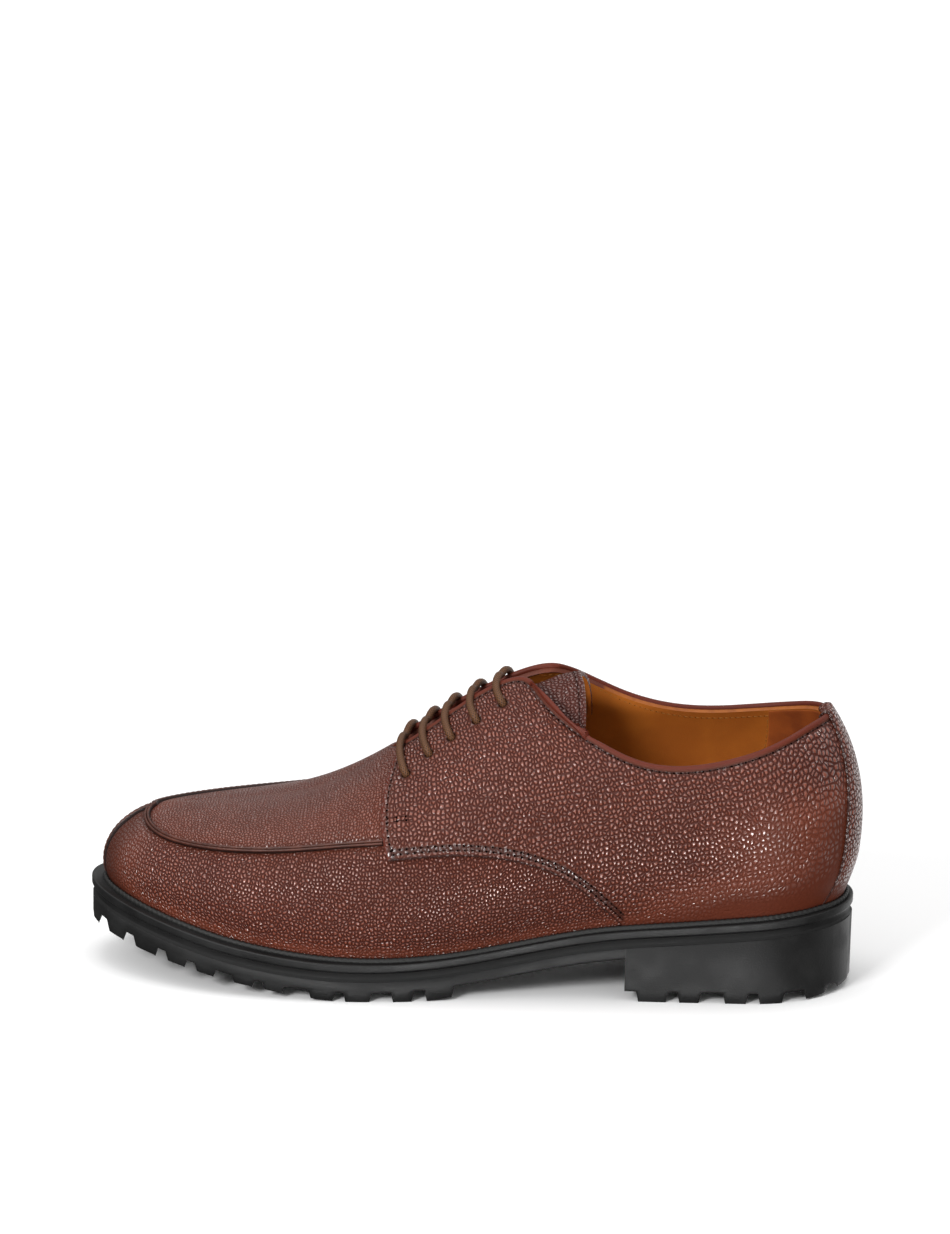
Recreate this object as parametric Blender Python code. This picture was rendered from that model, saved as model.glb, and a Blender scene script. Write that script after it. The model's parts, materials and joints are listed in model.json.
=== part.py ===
"""Lace-up shoe: a left split-toe derby on a lugged rubber sole, standing empty on the floor.

The toe points along -X, the outer (lateral) side along -Y and up is +Z. The origin lies on the floor
under the middle of the shoe. Every piece of the upper is cut from one function, the last, whose
coordinates are a turn around the foot (0 at the heel's back, 1 at the toe's tip) and a share of the
girth (0 at the welt, 1 at the ridge over the instep).
"""

import bmesh
import bpy
import numpy as np
from mathutils import Matrix, Vector

MM = 0.001

# Driving sizes
LENGTH = 305 * MM
BALL_WIDTH = 102 * MM
INSTEP_HEIGHT = 124 * MM
HEEL_HEIGHT = 36.5 * MM

# The back strip overhangs the sole and the lateral side is the wider, so the middle lies off the axis
HEEL_OVERHANG = 2.5 * MM
SIDE_SWING = 1.4 * MM
PLACE = (-HEEL_OVERHANG / 2, SIDE_SWING / 2, 0)

# Thicknesses and clearances
GAP = 0.35 * MM
QUARTER_GAP = 0.55 * MM
WALL = 2.0 * MM
QUARTER = 1.3 * MM
STRIP = 1.1 * MM
SEAM_HEIGHT = 1.3 * MM
SEAM_HALF = 1.4 * MM
SEAM_FOOT = 0.03
TOE_SEAM_HALF = 0.006
APRON_BACK = 0.59
BACK_SEAM = 0.0015
TONGUE = 2.0 * MM
TONGUE_CLEAR = 1.1 * MM
INSOLE = 2.8 * MM
INSOLE_MARGIN = 2.8 * MM
WELT = 3.5 * MM
WELT_REACH = 13 * MM
WELT_ROUND = 0.9 * MM
MIDSOLE = 3.1 * MM
MIDSOLE_SETBACK = 0.9 * MM
OUTSOLE = 4.4 * MM
OUTSOLE_SETBACK = 0.3 * MM
HEEL_LUG = 4.2 * MM
LUG_TAPER = 0.8 * MM

# Tread
TOE_SPRING = 17.6 * MM
FLAT_TO = 0.65
SPRING_POWER = 1.35
HEEL_ROLL = 3.2 * MM
ROLL_FROM = 0.09
ROLL_POWER = 1.5
SHANK_RISE = 1.6 * MM
SHANK_FROM = 0.555
BREAST = 0.293
HEEL_STEP = 0.278
TREAD_BACK = 0.511

# Lace
LACE = 3.0 * MM
LACE_HOLE = 4.4 * MM
LACE_SAG = 2.9 * MM
CUTTER = 12 * MM

LATERAL = -1
MEDIAL = 1


class Table:
    """Rows of a few sections, with named columns. The first column orders the rows."""

    def __init__(self, columns, *rows):
        values = np.array(rows, float)
        self.column = dict(zip(columns.split(), values.T))
        self.order = values[:, 0]

    def at(self, name, where):
        """A natural cubic spline through the named column."""
        knots = self.order
        values = self.column[name]
        steps = np.diff(knots)
        count = len(knots)
        matrix = np.eye(count)
        slopes = np.zeros(count)
        for i in range(1, count - 1):
            matrix[i, i - 1 : i + 2] = steps[i - 1], 2 * (steps[i - 1] + steps[i]), steps[i]
            rise = np.diff(values[i - 1 : i + 2]) / steps[i - 1 : i + 1]
            slopes[i] = 6 * (rise[1] - rise[0])
        bend = np.linalg.solve(matrix, slopes)
        where = np.asarray(where, float)
        i = np.clip(np.searchsorted(knots, where) - 1, 0, count - 2)
        step = steps[i]
        after = where - knots[i]
        before = knots[i + 1] - where
        curve = (bend[i] * before**3 + bend[i + 1] * after**3) / (6 * step)
        start = (values[i] / step - bend[i] * step / 6) * before
        end = (values[i + 1] / step - bend[i + 1] * step / 6) * after
        return curve + start + end


# The welt's half breadths as shares of the ball width, before the ends are rounded
OUTLINE = Table(
    "along lateral medial",
    (0.00, 0.324, 0.314),
    (0.15, 0.358, 0.333),
    (0.30, 0.377, 0.314),
    (0.42, 0.397, 0.324),
    (0.55, 0.471, 0.412),
    (0.66, 0.510, 0.485),
    (0.76, 0.495, 0.495),
    (0.88, 0.441, 0.466),
    (1.00, 0.392, 0.431),
)
HEEL_ROUND = 0.135
HEEL_POWER = 2.1
TOE_ROUND = 0.215
TOE_POWER = 2.05

# The welt's upper face as a share of the heel height, and the upper's inset from the rim in mm
SEAT = Table(
    "along height inset",
    (0.00, 1.000, 5.2),
    (0.10, 0.932, 5.0),
    (0.22, 0.844, 4.5),
    (0.32, 0.762, 3.9),
    (0.42, 0.608, 3.4),
    (0.52, 0.471, 3.4),
    (0.63, 0.416, 4.5),
    (0.75, 0.482, 5.5),
    (0.87, 0.663, 6.0),
    (1.00, 0.918, 6.6),
)

# The ridge over the foot: height as a share of the instep, offset as a share of the ball width.
# Behind the throat it is the open collar's unseen top.
RIDGE = Table(
    "along height offset",
    (0.15, 1.097, 0.000),
    (0.26, 1.040, 0.000),
    (0.35, 1.008, 0.005),
    (0.42, 1.007, 0.010),
    (0.48, 0.951, 0.020),
    (0.55, 0.830, 0.030),
    (0.62, 0.694, 0.045),
    (0.70, 0.576, 0.060),
    (0.78, 0.529, 0.070),
    (0.88, 0.504, 0.060),
)
RIDGE_BACK = 0.18
RIDGE_FRONT = 0.88

# The wall between welt and ridge: bulge and its height in mm, and how full the upper curve is
SIDES = Table(
    "along bulge_lateral bulge_medial widest full_lateral full_medial",
    (0.00, 4.4, 4.4, 32, 2.00, 2.00),
    (0.12, 5.2, 5.2, 28, 2.00, 2.00),
    (0.25, 5.0, 5.0, 24, 1.95, 1.95),
    (0.40, 6.0, 5.0, 22, 1.62, 1.62),
    (0.52, 5.0, 4.0, 18, 1.65, 1.70),
    (0.65, 3.0, 3.0, 13, 1.93, 2.07),
    (0.78, 2.0, 2.0, 10, 2.20, 2.40),
    (0.90, 1.0, 1.0, 8, 2.20, 2.35),
    (1.00, 0.8, 0.8, 7, 2.00, 2.00),
)

# The free edge of the upper, from the heel's back over collar, corner and facing to the throat
EDGE = {
    LATERAL: Table(
        "row turn share",
        (0, 0.000, 0.610),
        (1, 0.090, 0.600),
        (2, 0.155, 0.575),
        (3, 0.215, 0.545),
        (4, 0.270, 0.530),
        (5, 0.315, 0.535),
        (6, 0.352, 0.570),
        (7, 0.380, 0.640),
        (8, 0.400, 0.720),
        (9, 0.413, 0.810),
        (10, 0.418, 0.890),
        (11, 0.430, 0.940),
        (12, 0.464, 0.946),
        (13, 0.500, 0.931),
        (14, 0.531, 0.912),
        (15, 0.556, 0.905),
    ),
    MEDIAL: Table(
        "row turn share",
        (0, 0.000, 0.610),
        (1, 0.090, 0.602),
        (2, 0.155, 0.588),
        (3, 0.215, 0.583),
        (4, 0.265, 0.598),
        (5, 0.305, 0.630),
        (6, 0.337, 0.680),
        (7, 0.360, 0.745),
        (8, 0.375, 0.820),
        (9, 0.386, 0.890),
        (10, 0.398, 0.933),
        (11, 0.425, 0.940),
        (12, 0.465, 0.936),
        (13, 0.505, 0.930),
        (14, 0.533, 0.922),
        (15, 0.556, 0.915),
    ),
}
EDGE_ROWS = 15
EDGE_COLUMNS = 21
WALL_ROWS = 12
ROW_POWER = 1.08
LEAN_POWER = 1.5
THROAT = 0.572

# The quarter's lower edge, from where it leaves the welt to the facing's corner
QUARTER_FOOT = Table(
    "row turn share",
    (0, 0.365, 0.000),
    (1, 0.383, 0.070),
    (2, 0.401, 0.140),
    (3, 0.424, 0.225),
    (4, 0.450, 0.295),
    (5, 0.482, 0.352),
    (6, 0.520, 0.388),
    (7, 0.562, 0.400),
)
QUARTER_FOOT_ROWS = 7
FACING_BULGE = 0.010
FACING_POWER = 6

# Half width of the strip over the back seam, as a turn
BACK_STRIP = Table(
    "share half",
    (0.00, 0.118),
    (0.10, 0.100),
    (0.25, 0.092),
    (0.45, 0.068),
    (0.62, 0.042),
)

# The raised seam around the apron
APRON = Table(
    "turn lateral medial",
    (0.560, 0.470, 0.560),
    (0.610, 0.484, 0.605),
    (0.680, 0.470, 0.660),
    (0.750, 0.451, 0.692),
    (0.800, 0.456, 0.702),
    (0.845, 0.490, 0.708),
    (0.890, 0.560, 0.716),
    (0.940, 0.655, 0.730),
    (1.000, 0.755, 0.755),
)

# The seams' rounded section: place across it and height, as shares of half width and height
SEAM_SECTION = Table(
    "across crown",
    (-1.00, 0.35),
    (-0.45, 1.00),
    (0.45, 1.00),
    (1.00, 0.35),
)

# The tongue's half width in mm, and its sections from under the vamp to its free top
TONGUE_WIDTH = Table(
    "turn half",
    (0.343, 33),
    (0.400, 32),
    (0.480, 27),
    (0.560, 22),
    (0.640, 18),
)
TONGUE_TOP_LEAN = 0.046
TONGUE_LEAN_POWER = 0.8
TONGUE_TOP_RISE = 1.6 * MM
TONGUE_RISE_REACH = 0.6
TONGUE_DIP = 4.5 * MM
TONGUE_DIP_TURN = 0.405
TONGUE_DIP_REACH = 0.035

# Lace holes: turn, and distance from the ridge in mm on each side
HOLES = Table(
    "turn lateral medial",
    (0.453, 17.0, 17.0),
    (0.480, 19.3, 19.0),
    (0.505, 21.6, 21.0),
    (0.527, 24.3, 23.5),
    (0.549, 29.0, 27.0),
)

# How a lace bar turns into its hole: distance from the hole towards the ridge, and height above
# the quarter, in mm
LACE_END = Table(
    "row inside height",
    (0, 0.0, -2.6),
    (1, 0.0, -0.5),
    (2, 0.5, 0.9),
    (3, 1.4, 1.75),
    (4, 3.0, 2.0),
)
BAR_POINTS = 7
SAG_POWER = 5
# How far a bar bows along the shoe on each side, and at its middle
BAR_BOW = {LATERAL: -2.0 * MM, MEDIAL: 2.0 * MM}
BAR_MIDDLE = -3.0 * MM
BAR_SLANT = 0.06
BAR_HALVINGS = 24

# Notches in the lugs of forefoot and heel
FOREFOOT_NOTCHES = Table(
    "start end",
    (0.549, 0.562),
    (0.592, 0.616),
    (0.653, 0.663),
    (0.698, 0.729),
    (0.758, 0.768),
    (0.798, 0.819),
    (0.848, 0.858),
    (0.888, 0.898),
    (0.933, 0.944),
    (0.973, 0.982),
)
HEEL_NOTCHES = Table(
    "start end",
    (0.020, 0.030),
    (0.061, 0.086),
    (0.121, 0.133),
    (0.166, 0.194),
    (0.225, 0.236),
)
# Cross lines of the plain sole behind the tread, and the lugs' bands across the sole
PLAIN_LINES = (0, 0.02, 0.06, 0.12, 0.2, 0.28, 0.36, 0.44)
LUG_BANDS = (0.0, 0.17, 0.27, 0.5, 0.73, 0.83, 1.0)
EDGE_BANDS = (0, 5)
MIDDLE_BANDS = (2, 3)


def along_of(turn):
    """The share of the length, from heel to toe, at a turn around the foot."""
    return 0.5 - 0.5 * np.cos(np.pi * np.asarray(turn, float))


def turn_of(along):
    """The turn around the foot at a share of the length."""
    return np.arccos(1 - 2 * np.asarray(along, float)) / np.pi


def seat_height(x):
    """Height of the welt's upper face above the floor."""
    return HEEL_HEIGHT * SEAT.at("height", np.clip(0.5 - x / LENGTH, 0, 1))


def tread_height(x):
    """Height of the lugs' ends: flat under ball and heel, rising to the toe and the heel's back."""
    along = 0.5 - x / LENGTH
    toe = np.clip((along - FLAT_TO) / (1 - FLAT_TO), 0, None) ** SPRING_POWER
    back = np.clip((ROLL_FROM - along) / ROLL_FROM, 0, None) ** ROLL_POWER
    shank = np.clip((SHANK_FROM - along) / (SHANK_FROM - TREAD_BACK), 0, 1) * (along > BREAST)
    return TOE_SPRING * toe + HEEL_ROLL * back + SHANK_RISE * shank


def both_sides(turn, side):
    """Carries a turn before the heel's back or past the toe over to the other side."""
    side = np.where((turn < 0) | (turn > 1), -side, side)
    turn = np.abs(turn)
    return np.where(turn > 1, 2 - turn, turn), side


def rim(turn, side):
    """The welt's outline in plan."""
    turn, side = both_sides(np.asarray(turn, float), side)
    along = along_of(turn)
    back = np.clip(1 - along / HEEL_ROUND, 0, 1)
    front = np.clip(1 - (1 - along) / TOE_ROUND, 0, 1)
    ends = (1 - back**HEEL_POWER) ** (1 / HEEL_POWER) * (1 - front**TOE_POWER) ** (1 / TOE_POWER)
    half = np.where(side < 0, OUTLINE.at("lateral", along), OUTLINE.at("medial", along))
    return np.stack([LENGTH * (0.5 - along), side * BALL_WIDTH * half * ends], -1)


def inset_rim(turn, side, inset):
    """The welt's outline, moved inwards."""
    step = 1e-3
    turn = np.asarray(turn, float)
    course = rim(turn + step, side) - rim(turn - step, side)
    course /= np.linalg.norm(course, axis=-1, keepdims=True)
    inward = np.stack([-side * course[..., 1], side * course[..., 0]], -1)
    return rim(turn, side) + inward * np.asarray(inset)[..., None]


def meridian(turn, side):
    """The wall's section at a turn: its foot, outward course, and distances out and up from the foot."""
    along = along_of(turn)
    foot = inset_rim(turn, side, MM * SEAT.at("inset", along))
    ridge_along = RIDGE_BACK + (RIDGE_FRONT - RIDGE_BACK) * along
    ridge_y = BALL_WIDTH * RIDGE.at("offset", ridge_along)
    ridge = np.stack([LENGTH * (0.5 - ridge_along), ridge_y], -1)
    reach = np.linalg.norm(foot - ridge, axis=-1)[..., None]
    outward = (foot - ridge) / reach
    ground = seat_height(foot[..., 0]) + GAP
    lateral = side < 0
    bulge = np.where(lateral, SIDES.at("bulge_lateral", along), SIDES.at("bulge_medial", along))
    full = np.where(lateral, SIDES.at("full_lateral", along), SIDES.at("full_medial", along))
    bulge = MM * bulge[..., None]
    full = full[..., None]
    widest = MM * SIDES.at("widest", along)[..., None]
    rise = (INSTEP_HEIGHT * RIDGE.at("height", ridge_along) - ground)[..., None] - widest
    low = np.linspace(0, 1, 16)
    bend = np.linspace(0, np.pi / 2, 64)[1:]
    out_low = bulge * (1 - (1 - low) ** 2)
    out_high = (bulge + reach) * np.abs(np.cos(bend)) ** (2 / full) - reach
    up_high = widest + rise * np.sin(bend)
    out = np.concatenate([out_low, out_high], -1)
    up = np.concatenate([widest * low, up_high], -1)
    return np.concatenate([foot, ground[..., None]], -1), outward, out, up


def arc_length(out, up):
    """Length along a section, from its foot."""
    steps = np.hypot(np.diff(out), np.diff(up))
    return np.concatenate([np.zeros_like(steps[..., :1]), np.cumsum(steps, -1)], -1)


def girth(turn, side):
    """Length of the wall's section from the welt to the ridge."""
    _, _, out, up = meridian(np.asarray(turn, float), np.asarray(side))
    return arc_length(out, up)[..., -1]


def last(turn, share, side):
    """Points on the outer face of the lasted upper."""
    turn, share, side = np.broadcast_arrays(np.asarray(turn, float), np.asarray(share, float), side)
    side = np.where(share > 1, -side, side)
    share = np.clip(np.where(share > 1, 2 - share, share), 0, 1)
    turn, side = both_sides(turn, side)
    foot, outward, out, up = meridian(turn, side)
    length = arc_length(out, up)
    target = share * length[..., -1]
    k = np.clip((length < target[..., None]).sum(-1) - 1, 0, length.shape[-1] - 2)[..., None]

    def between(values):
        start = np.take_along_axis(values, k, -1)[..., 0]
        end = np.take_along_axis(values, k + 1, -1)[..., 0]
        return start, end

    start, end = between(length)
    part = (target - start) / (end - start)
    start, end = between(out)
    out_here = start + part * (end - start)
    start, end = between(up)
    up_here = start + part * (end - start)
    plan = foot[..., :2] + outward * out_here[..., None]
    return np.concatenate([plan, (foot[..., 2] + up_here)[..., None]], -1)


def normal(turn, share, side):
    """Outward course of the last's surface."""
    step = 4e-3
    share = np.minimum(share, 1 - 1e-3 * (np.asarray(turn) > 1 - step))
    forward = last(turn + step, share, side) - last(turn - step, share, side)
    upward = last(turn, share + step, side) - last(turn, np.maximum(share - step, 0), side)
    across = np.cross(forward, upward) * np.asarray(side)[..., None]
    return across / np.linalg.norm(across, axis=-1, keepdims=True)


def skin(turn, share, side, lift):
    """The last's surface raised by a lift, kept off the welt."""
    turn, share, side = np.broadcast_arrays(np.asarray(turn, float), np.asarray(share, float), side)
    points = last(turn, share, side) + lift * normal(turn, share, side)
    points[..., 2] = np.maximum(points[..., 2], seat_height(points[..., 0]) + GAP)
    return points


def finish(name, colour, roughness):
    """A plain material in the part's colour."""
    material = bpy.data.materials.new(name)
    material.use_nodes = True
    shader = material.node_tree.nodes["Principled BSDF"]
    shader.inputs["Base Color"].default_value = (*colour, 1)
    shader.inputs["Roughness"].default_value = roughness
    shader.inputs["Metallic"].default_value = 0
    return material


def add_object(name, data, material):
    """Links an object with one material."""
    data.materials.append(material)
    made = bpy.data.objects.new(name, data)
    made.location = PLACE
    bpy.context.scene.collection.objects.link(made)
    return made


def grid_faces(ids, flip=False):
    """Faces between the rows of a grid of vertex numbers. Where corners share a vertex, a triangle."""
    faces = []
    for before, after in zip(ids, ids[1:]):
        for k in range(len(before) - 1):
            corners = [before[k], after[k], after[k + 1], before[k + 1]]
            corners = list(dict.fromkeys(corners))
            if len(corners) > 2:
                faces.append(corners[::-1] if flip else corners)
    return faces


def sheet_mesh(name, outer, inner, faces):
    """A closed solid between two sheets with the same faces, walled along the sheets' free edges."""
    count = len(outer)
    edges = {(a, b) for face in faces for a, b in zip(face, face[1:] + face[:1])}
    walls = [(b, a, a + count, b + count) for a, b in sorted(edges) if (b, a) not in edges]
    backs = [[v + count for v in reversed(face)] for face in faces]
    mesh = bpy.data.meshes.new(name)
    mesh.from_pydata([*map(tuple, outer), *map(tuple, inner)], [], [*faces, *backs, *walls])
    solid = bmesh.new()
    solid.from_mesh(mesh)
    bmesh.ops.recalc_face_normals(solid, faces=solid.faces)
    solid.to_mesh(mesh)
    solid.free()
    return mesh


def wall_rows():
    """Steps from welt to edge that grow shorter, for the wall bends most towards the ridge."""
    return 1 - (1 - np.linspace(0, 1, WALL_ROWS + 1)) ** ROW_POWER


def edge_columns(side):
    """Turns at the welt, and turns and shares along the free edge, from the heel's back to the throat."""
    rows = np.linspace(0, EDGE_ROWS, EDGE_COLUMNS + 1)
    turns = EDGE[side].at("turn", rows)
    turns[0] = 0
    return np.linspace(0, turns[-1], EDGE_COLUMNS + 1), turns, EDGE[side].at("share", rows)


def make_upper(material):
    """The hollow wall, closed over the forefoot, with the collar and throat left open."""
    closed_columns = 10
    columns = EDGE_COLUMNS + 1 + closed_columns
    closed = np.linspace(THROAT, 1, closed_columns + 1)
    rise = wall_rows()
    number = {}
    places = []

    def vertex(side, i, j, turn, share):
        shared = i in (0, columns) or (j == WALL_ROWS and i > EDGE_COLUMNS)
        key = (LATERAL if shared else side, i, j)
        if key not in number:
            number[key] = len(places)
            places.append((turn, share, key[0]))
        return number[key]

    faces = []
    for side in (LATERAL, MEDIAL):
        foot_turn, edge_turn, edge_share = edge_columns(side)
        foot_turn = np.concatenate([foot_turn, closed])
        top_turn = np.concatenate([edge_turn, closed])
        top_share = np.concatenate([edge_share, np.ones(closed_columns + 1)])
        ids = []
        for i in range(columns + 1):
            turn = foot_turn[i] + (top_turn[i] - foot_turn[i]) * rise**LEAN_POWER
            share = top_share[i] * rise
            ids.append([vertex(side, i, j, turn[j], share[j]) for j in range(WALL_ROWS + 1)])
        faces += grid_faces(ids, flip=side == MEDIAL)
    turn, share, side = np.array(places).T
    outer = skin(turn, share, side, 0)
    inner = skin(turn, share, side, -WALL)
    return add_object("upper", sheet_mesh("upper", outer, inner, faces), material)


def make_quarter(name, side, material):
    """A quarter with its facing, lying on the upper from the back seam to the throat."""
    foot_turn, top_turn, top_share = edge_columns(side)
    rising = slice(EDGE_COLUMNS - QUARTER_FOOT_ROWS, None)
    foot_share = np.zeros(EDGE_COLUMNS + 1)
    foot_turn[rising] = QUARTER_FOOT.column["turn"]
    foot_share[rising] = QUARTER_FOOT.column["share"]
    foot_turn[0] = BACK_SEAM
    top_turn[0] = BACK_SEAM
    rise = wall_rows()[None, :]
    front = np.linspace(0, 1, EDGE_COLUMNS + 1)[:, None] ** FACING_POWER
    turn = foot_turn[:, None] + (top_turn - foot_turn)[:, None] * rise**LEAN_POWER
    turn = turn + FACING_BULGE * front * 4 * rise * (1 - rise)
    share = foot_share[:, None] + (top_share - foot_share)[:, None] * rise
    ids = np.arange(turn.size).reshape(turn.shape).tolist()
    outer = skin(turn.ravel(), share.ravel(), side, QUARTER_GAP + QUARTER)
    inner = skin(turn.ravel(), share.ravel(), side, QUARTER_GAP)
    return add_object(name, sheet_mesh(name, outer, inner, grid_faces(ids, side == MEDIAL)), material)


def make_back_strip(material):
    """The strip over the back seam, wide at the welt and narrow at the collar."""
    rows = 10
    columns = 6
    share = np.linspace(0, EDGE[LATERAL].at("share", 0), rows + 1)[None, :]
    across = np.linspace(-1, 1, columns + 1)[:, None]
    turn = across * BACK_STRIP.at("half", share)
    share = np.broadcast_to(share, turn.shape)
    ids = np.arange(turn.size).reshape(turn.shape).tolist()
    low = QUARTER_GAP + QUARTER + GAP
    outer = skin(turn.ravel(), share.ravel(), MEDIAL, low + STRIP)
    inner = skin(turn.ravel(), share.ravel(), MEDIAL, low)
    return add_object("back_strip", sheet_mesh("back_strip", outer, inner, grid_faces(ids)), material)


def make_apron_seam(material):
    """The raised seam around the apron, from one facing round the toe to the other."""
    per_side = 16
    half_way = np.linspace(APRON_BACK, 1, per_side)
    turn = np.concatenate([half_way[:-1], half_way[::-1]])
    side = np.where(np.arange(len(turn)) < per_side - 1, LATERAL, MEDIAL)
    middle = np.where(side < 0, APRON.at("lateral", turn), APRON.at("medial", turn))
    half = SEAM_HALF / girth(turn, side)
    across, crown = SEAM_SECTION.column.values()
    share = middle[:, None] + half[:, None] * across
    turns = np.repeat(turn, len(across))
    sides = np.repeat(side, len(across))
    lift = GAP + SEAM_HEIGHT * np.tile(crown, len(turn))[:, None]
    ids = np.arange(share.size).reshape(share.shape).tolist()
    outer = skin(turns, share.ravel(), sides, lift)
    inner = skin(turns, share.ravel(), sides, GAP)
    return add_object("apron_seam", sheet_mesh("apron_seam", outer, inner, grid_faces(ids)), material)


def make_toe_seam(material):
    """The upright seam down the middle of the toe."""
    rows = 12
    top = APRON.at("lateral", 1.0) - (SEAM_HALF + 2 * GAP) / girth(1.0, LATERAL)
    across, crown = SEAM_SECTION.column.values()
    share, across = np.meshgrid(np.linspace(SEAM_FOOT, top, rows + 1), across)
    turn = 1 + TOE_SEAM_HALF * across
    lift = GAP + SEAM_HEIGHT * np.repeat(crown, rows + 1)[:, None]
    ids = np.arange(turn.size).reshape(turn.shape).tolist()
    outer = skin(turn.ravel(), share.ravel(), LATERAL, lift)
    inner = skin(turn.ravel(), share.ravel(), LATERAL, GAP)
    return add_object("toe_seam", sheet_mesh("toe_seam", outer, inner, grid_faces(ids)), material)


def make_tongue(material):
    """The leaf under the facings, from beneath the vamp to its free top above the collar."""
    sections = 11
    columns = 10
    across = np.linspace(-1, 1, columns + 1)[None, :]
    turn = np.linspace(TONGUE_WIDTH.order[0], TONGUE_WIDTH.order[-1], sections + 1)[:, None]
    near_top = np.linspace(1, 0, sections + 1)[:, None]
    half = MM * TONGUE_WIDTH.at("half", turn)
    turn = turn + TONGUE_TOP_LEAN * near_top**3 * np.abs(across) ** TONGUE_LEAN_POWER
    side = np.where(across + 0 * turn < 0, LATERAL, MEDIAL)
    share = 1 - np.abs(across) * half / girth(turn, side)
    ids = np.arange(turn.size).reshape(turn.shape).tolist()
    rise = TONGUE_TOP_RISE * near_top**6 * np.clip(1 - (across / TONGUE_RISE_REACH) ** 2, 0, None)
    dip = TONGUE_DIP * np.exp(-(((turn - TONGUE_DIP_TURN) / TONGUE_DIP_REACH) ** 2))
    low = (rise - dip - (WALL + TONGUE_CLEAR)).reshape(-1, 1)
    outer = skin(turn.ravel(), share.ravel(), side.ravel(), low)
    inner = skin(turn.ravel(), share.ravel(), side.ravel(), low - TONGUE)
    return add_object("tongue", sheet_mesh("tongue", outer, inner, grid_faces(ids)), material)


def plate_grid(turns, bands, inset):
    """Plan points across the shoe at each turn, and their numbers. A row at an end is one point."""
    places = []
    ids = []
    for turn in turns:
        margin = inset(turn)
        near = inset_rim(turn, LATERAL, margin)
        far = inset_rim(turn, MEDIAL, margin)
        tip = turn in (0, 1)
        row = [0] if tip else bands
        first = len(places)
        places += [near + (far - near) * band for band in row]
        ids.append([first] * len(bands) if tip else list(range(first, first + len(bands))))
    return np.array(places), ids


def plate_mesh(name, turns, bands, inset, top, bottom):
    """A plate of the sole between two heights, each a function of x."""
    plan, ids = plate_grid(turns, bands, inset)
    upper = np.column_stack([plan, top(plan[:, 0])])
    lower = np.column_stack([plan, bottom(plan[:, 0])])
    return sheet_mesh(name, upper, lower, grid_faces(ids))


def below_seat(drop):
    """Height of a surface that lies under the welt's upper face."""
    return lambda x: seat_height(x) - drop


def make_insole(material):
    """The insole board inside the upper."""
    turns = np.linspace(0, 1, 29)
    bands = (0.0, 0.5, 1.0)
    margin = lambda turn: MM * SEAT.at("inset", along_of(turn)) + INSOLE_MARGIN
    top = below_seat(-GAP - INSOLE)
    mesh = plate_mesh("insole", turns, bands, margin, top, below_seat(-GAP))
    return add_object("insole", mesh, material)


def make_filler(material):
    """The cork inside the welt."""
    turns = np.linspace(0, 1, 25)
    margin = lambda turn: WELT_REACH + GAP
    mesh = plate_mesh("filler", turns, (0.0, 1.0), margin, below_seat(0), below_seat(WELT))
    return add_object("filler", mesh, material)


def make_welt(material):
    """The welt all the way round, with a rounded edge."""
    per_side = 26
    turns = np.linspace(0, 1, per_side + 1)
    loop = [(turn, LATERAL) for turn in turns[:-1]]
    loop += [(turn, MEDIAL) for turn in turns[:0:-1]]
    section = (
        (WELT_REACH, 0),
        (WELT_ROUND, 0),
        (0, WELT_ROUND),
        (0, WELT - WELT_ROUND),
        (WELT_ROUND, WELT),
        (WELT_REACH, WELT),
    )
    points = []
    for turn, side in loop:
        for inset, drop in section:
            x, y = inset_rim(turn, side, inset)
            points.append((x, y, float(seat_height(x)) - drop))
    size = len(section)
    ids = [[k * size + j % size for j in range(size + 1)] for k in range(len(loop))]
    mesh = bpy.data.meshes.new("welt")
    mesh.from_pydata(points, [], grid_faces([*ids, ids[0]]))
    solid = bmesh.new()
    solid.from_mesh(mesh)
    bmesh.ops.recalc_face_normals(solid, faces=solid.faces)
    solid.to_mesh(mesh)
    solid.free()
    return add_object("welt", mesh, material)


def make_midsole(material):
    """The midsole, set back so that it reads as a dark groove."""
    turns = np.linspace(0, 1, 31)
    top = WELT + GAP
    margin = lambda turn: MIDSOLE_SETBACK
    bottom = below_seat(top + MIDSOLE)
    mesh = plate_mesh("midsole", turns, (0.0, 1.0), margin, below_seat(top), bottom)
    return add_object("midsole", mesh, material)


def stations(notches, *others):
    """Turns of a tread's cross lines, from its notches and a few other shares of the length."""
    along = sorted({*notches.column["start"], *notches.column["end"], *others})
    return turn_of(np.array(along))


def in_notch(along, notches):
    """Whether a place along the sole lies in one of the notches."""
    return any(start < along < end for start, end in zip(notches.column["start"], notches.column["end"]))


def add_lugs(mesh, is_lug):
    """Draws the lugs out of a plate's underside, each narrower at its end than at its root."""
    solid = bmesh.new()
    solid.from_mesh(mesh)
    under = [face for face in solid.faces if face.normal.z < -0.5 and is_lug(face.calc_center_median())]
    drawn = bmesh.ops.extrude_face_region(solid, geom=under)["geom"]
    ends = [piece for piece in drawn if isinstance(piece, bmesh.types.BMFace)]
    tapered = {}
    for face in ends:
        middle = face.calc_center_median().x
        for vert in face.verts:
            free = vert.co.x - middle
            tapered[vert] = vert.co.x - np.sign(free) * min(LUG_TAPER, abs(free) / 2)
    for vert, x in tapered.items():
        vert.co.x = x
        vert.co.z = float(tread_height(x))
    bmesh.ops.delete(solid, geom=[face for face in under if face.is_valid], context="FACES_ONLY")
    bmesh.ops.recalc_face_normals(solid, faces=solid.faces)
    solid.to_mesh(mesh)
    solid.free()


def band_of(point):
    """Which band across the sole a point lies in."""
    turn = turn_of(np.clip(0.5 - point.x / LENGTH, 0, 1))
    near = rim(turn, LATERAL)[1]
    far = rim(turn, MEDIAL)[1]
    return int(np.searchsorted(LUG_BANDS, (point.y - near) / (far - near))) - 1


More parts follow.
